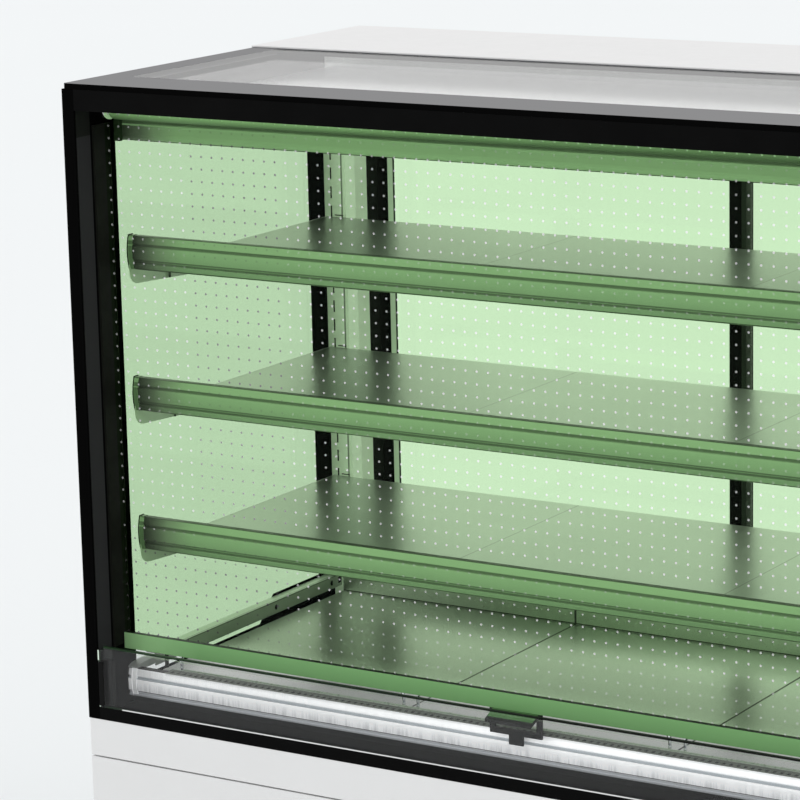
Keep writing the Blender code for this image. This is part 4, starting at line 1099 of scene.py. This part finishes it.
def base_fittings():
    """What sits on the side rails and the trays, the slotted air cover and the nose's caps."""

    def rail_fittings(side, flip):
        outline = [(0.0740, 0.4602), (0.0760, 0.4622), (0.0810, 0.4645), (0.0900, 0.4662)]
        outline += [(0.1000, 0.4668), (0.1208, 0.4670), (0.1208, 0.4562), (0.0868, 0.4562)]
        outline += [(0.0868, 0.4602)]
        tip = prism(outline, "X", flip(0.0204), flip(0.0376))
        add(f"side_rail_tip_{side}", tip, M["side_rail"])
        profile = [(0.0, 0.4500), (0.0030, 0.4500), (0.0030, 0.4710)]
        profile += [(0.0022, 0.4716), (0.0, 0.4716)]
        pin = turned(profile, (flip(0.0530), 0.1280, 0), "Z", 16)
        add(f"tray_pin_{side}", pin, M["machine"], smooth=30)
        # Painted shade: dark shapes stand in for the shade inside the rail's holes.
        for k, y in enumerate((0.4460, 0.6080)):
            hole_shade = prism(arc(y, 0.4625, 0.0042, 60, 300, 10), "X", flip(0.0379), flip(0.0382))
            add(f"side_rail_hole_shade_{k}_{side}", hole_shade, M["gasket"])
        a, b = sorted((flip(0.0379), flip(0.0383)))
        slab(f"side_rail_stop_{side}", a, b, 0.6270, 0.6350, 0.4580, 0.4680, "gasket")

    both_sides(rail_fittings)
    start, stop, low, high = NOSE_END, WIDTH - NOSE_END, 0.4601, 0.4609
    front, slots_start, slots_end, rear = 0.0724, 0.0762, 0.0846, 0.0926
    bars = [block(start, stop, front, slots_start, low, high)]
    bars.append(block(start, stop, slots_end, rear, low, high))
    pitch, bar, count = 0.0108, 0.0054, 113
    for k in range(count):
        x = start + 0.0020 + k * pitch
        bars.append(block(x, x + bar, slots_start, slots_end, low, high))
    leg = 0.0024
    for x in (start + 0.0010, 0.3500, 0.6988, 1.0476, stop - 0.0010 - leg):
        bars.append(block(x, x + leg, 0.0890, 0.0940, 0.4412, low))
    add("air_cover", merge(*bars), M["grille"])
    slab("air_cover_hem", start, stop, rear, 0.0944, low, high + 0.0004, "lip")
    gap = 0.0005
    starts = (start, *(joint + gap for joint in JOINTS_X))
    stops = (*(joint - gap for joint in JOINTS_X), stop)
    for n, a, b in zip(SHELVES, starts, stops):
        slab(f"tray_lip_{n}", a, b, 0.1214, 0.1246, 0.4483, 0.4530, "lip", bevel=0.0006)
        slab(f"tray_lip_foot_{n}", a, b, 0.1246, 0.1252, 0.4483, 0.4515, "machine")
    rail_end("nose_cap", NOSE_Y, 0.4598, 0.0428, "cap_white", "cap_white")


def glazing_fittings():
    """The low pane's clamps, painted glints on its corners, and its edges, the seal behind the top
    glass and door seals, with a painted shadow strip by the left one.
    """

    def clamp(side, flip):
        def plate(name, outline, y0, y1, material):
            shape = prism([(flip(x), z) for x, z in outline], "Y", y0, y1)
            add(f"{name}_{side}", shape, M[material], smooth=30)

        front = rounded(0.0208, 0.0296, 0.4195, 0.4880, 0.0030)
        plate("glass_clamp", front, 0.0000, 0.0004, "gasket")
        back = rounded(0.0210, 0.0400, 0.4195, 0.4900, 0.0030)
        plate("glass_clamp_back", back, 0.0068, 0.0160, "gasket")
        # Painted highlights: bright glints on the pane's polished edge at its upper and lower
        # corners.
        for k, (z0, z1) in enumerate(((0.4905, 0.5065), (0.4185, 0.4210))):
            corner = rounded(0.0207, 0.0230, z0, z1, 0.0010)
            plate(f"glass_corner_{k}", corner, 0.0001, 0.0004, "polished")
        a, b = sorted((flip(0.0577), flip(0.0590)))
        slab(f"jamb_liner_{side}", a, b, 0.7112, 0.7408, 0.4985, 1.2615, "gasket")

    both_sides(clamp)
    edge = 0.0310
    slab("glass_upper_edge", edge, WIDTH - edge, 0.0008, 0.0062, 0.5071, 0.5122, "front_glass")
    edge = 0.0620
    slab("glass_foot_line", edge, WIDTH - edge, 0.00005, 0.0004, 0.4182, 0.4198, "white")
    edge = 0.0035
    slab("top_seal", edge, WIDTH - edge, 0.4783, 0.4817, 1.3400, 1.3482, "box", bevel=0.0006)
    seal = (0.7540, 0.7568, 0.5245, 1.2375)
    strip = (0.7514, 0.7519, 0.4960, 1.2660)
    slab("door_seal_left", 0.0707, 0.0805, *seal, "bead", "door_left")
    # Painted shadow: a dark strip along the left seal's edge.
    slab("door_seal_left_shadow", 0.0805, 0.0822, *seal, "dark_strip", "door_left")
    slab("door_meeting_strip", 0.7090, 0.7162, *strip, "dark_strip", "door_left")


shelves()
base_fittings()
glazing_fittings()


# ---------------------------------------------------------------- stage, light and camera
def floor_finish():
    """Pale studio floor."""
    s = Shader("pale_floor")
    colour = s.mix_colour(s.noise(0.6), (0.790, 0.813, 0.822), (0.798, 0.821, 0.830))
    return s.done(s.surface(colour, 0.9, specular=0.1))


def stage():
    """A wide floor just below the feet, and an even white surround."""
    half, z = 60.0, -0.0005
    bm = bmesh.new()
    corners = ((-half, -half), (half, -half), (half, half), (-half, half))
    bm.faces.new([bm.verts.new((x, y, z)) for x, y in corners])
    floor = make_object("floor", bm, floor_finish())

    world = bpy.data.worlds.new("studio")
    world.use_nodes = True
    background = world.node_tree.nodes["Background"]
    background.inputs["Color"].default_value = (0.96, 0.96, 0.96, 1.0)
    background.inputs["Strength"].default_value = 1.0
    bpy.context.scene.world = world


def sun(name, place, aim, energy, angle):
    """A soft sun that shines from a place towards another. The angle is in degrees."""
    data = bpy.data.lights.new(name, "SUN")
    data.energy = energy
    data.angle = math.radians(angle)
    lamp = bpy.data.objects.new(name, data)
    bpy.context.scene.collection.objects.link(lamp)
    lamp.location = place
    lamp.rotation_mode = "QUATERNION"
    lamp.rotation_quaternion = (Vector(aim) - Vector(place)).to_track_quat("-Z", "Y")


def camera(place, right, down, forward, lens, shift):
    """A camera from its place and its three directions, with a lens in mm for a 36 mm sensor."""
    data = bpy.data.cameras.new("camera")
    data.sensor_width = 36.0
    data.lens = lens
    data.shift_x, data.shift_y = shift
    data.clip_end = 200.0
    cam = bpy.data.objects.new("camera", data)
    bpy.context.scene.collection.objects.link(cam)
    matrix = Matrix.Identity(4)
    for k in range(3):
        matrix[k][0], matrix[k][1], matrix[k][2] = right[k], -down[k], -forward[k]
    matrix.translation = Vector(place)
    cam.matrix_world = matrix
    bpy.context.scene.camera = cam


stage()
sun("key", place=(-2.0, -4.0, 5.0), aim=(0, 0, 0.5), energy=0.75, angle=25)
camera(
    place=(2.3143, -4.2813, 1.9342),
    right=(0.85338, 0.520907, -0.019966),
    down=(0.098887, -0.199371, -0.974922),
    forward=(-0.511824, 0.830004, -0.22165),
    lens=154.11,
    shift=(-0.045, 0.04125),
)
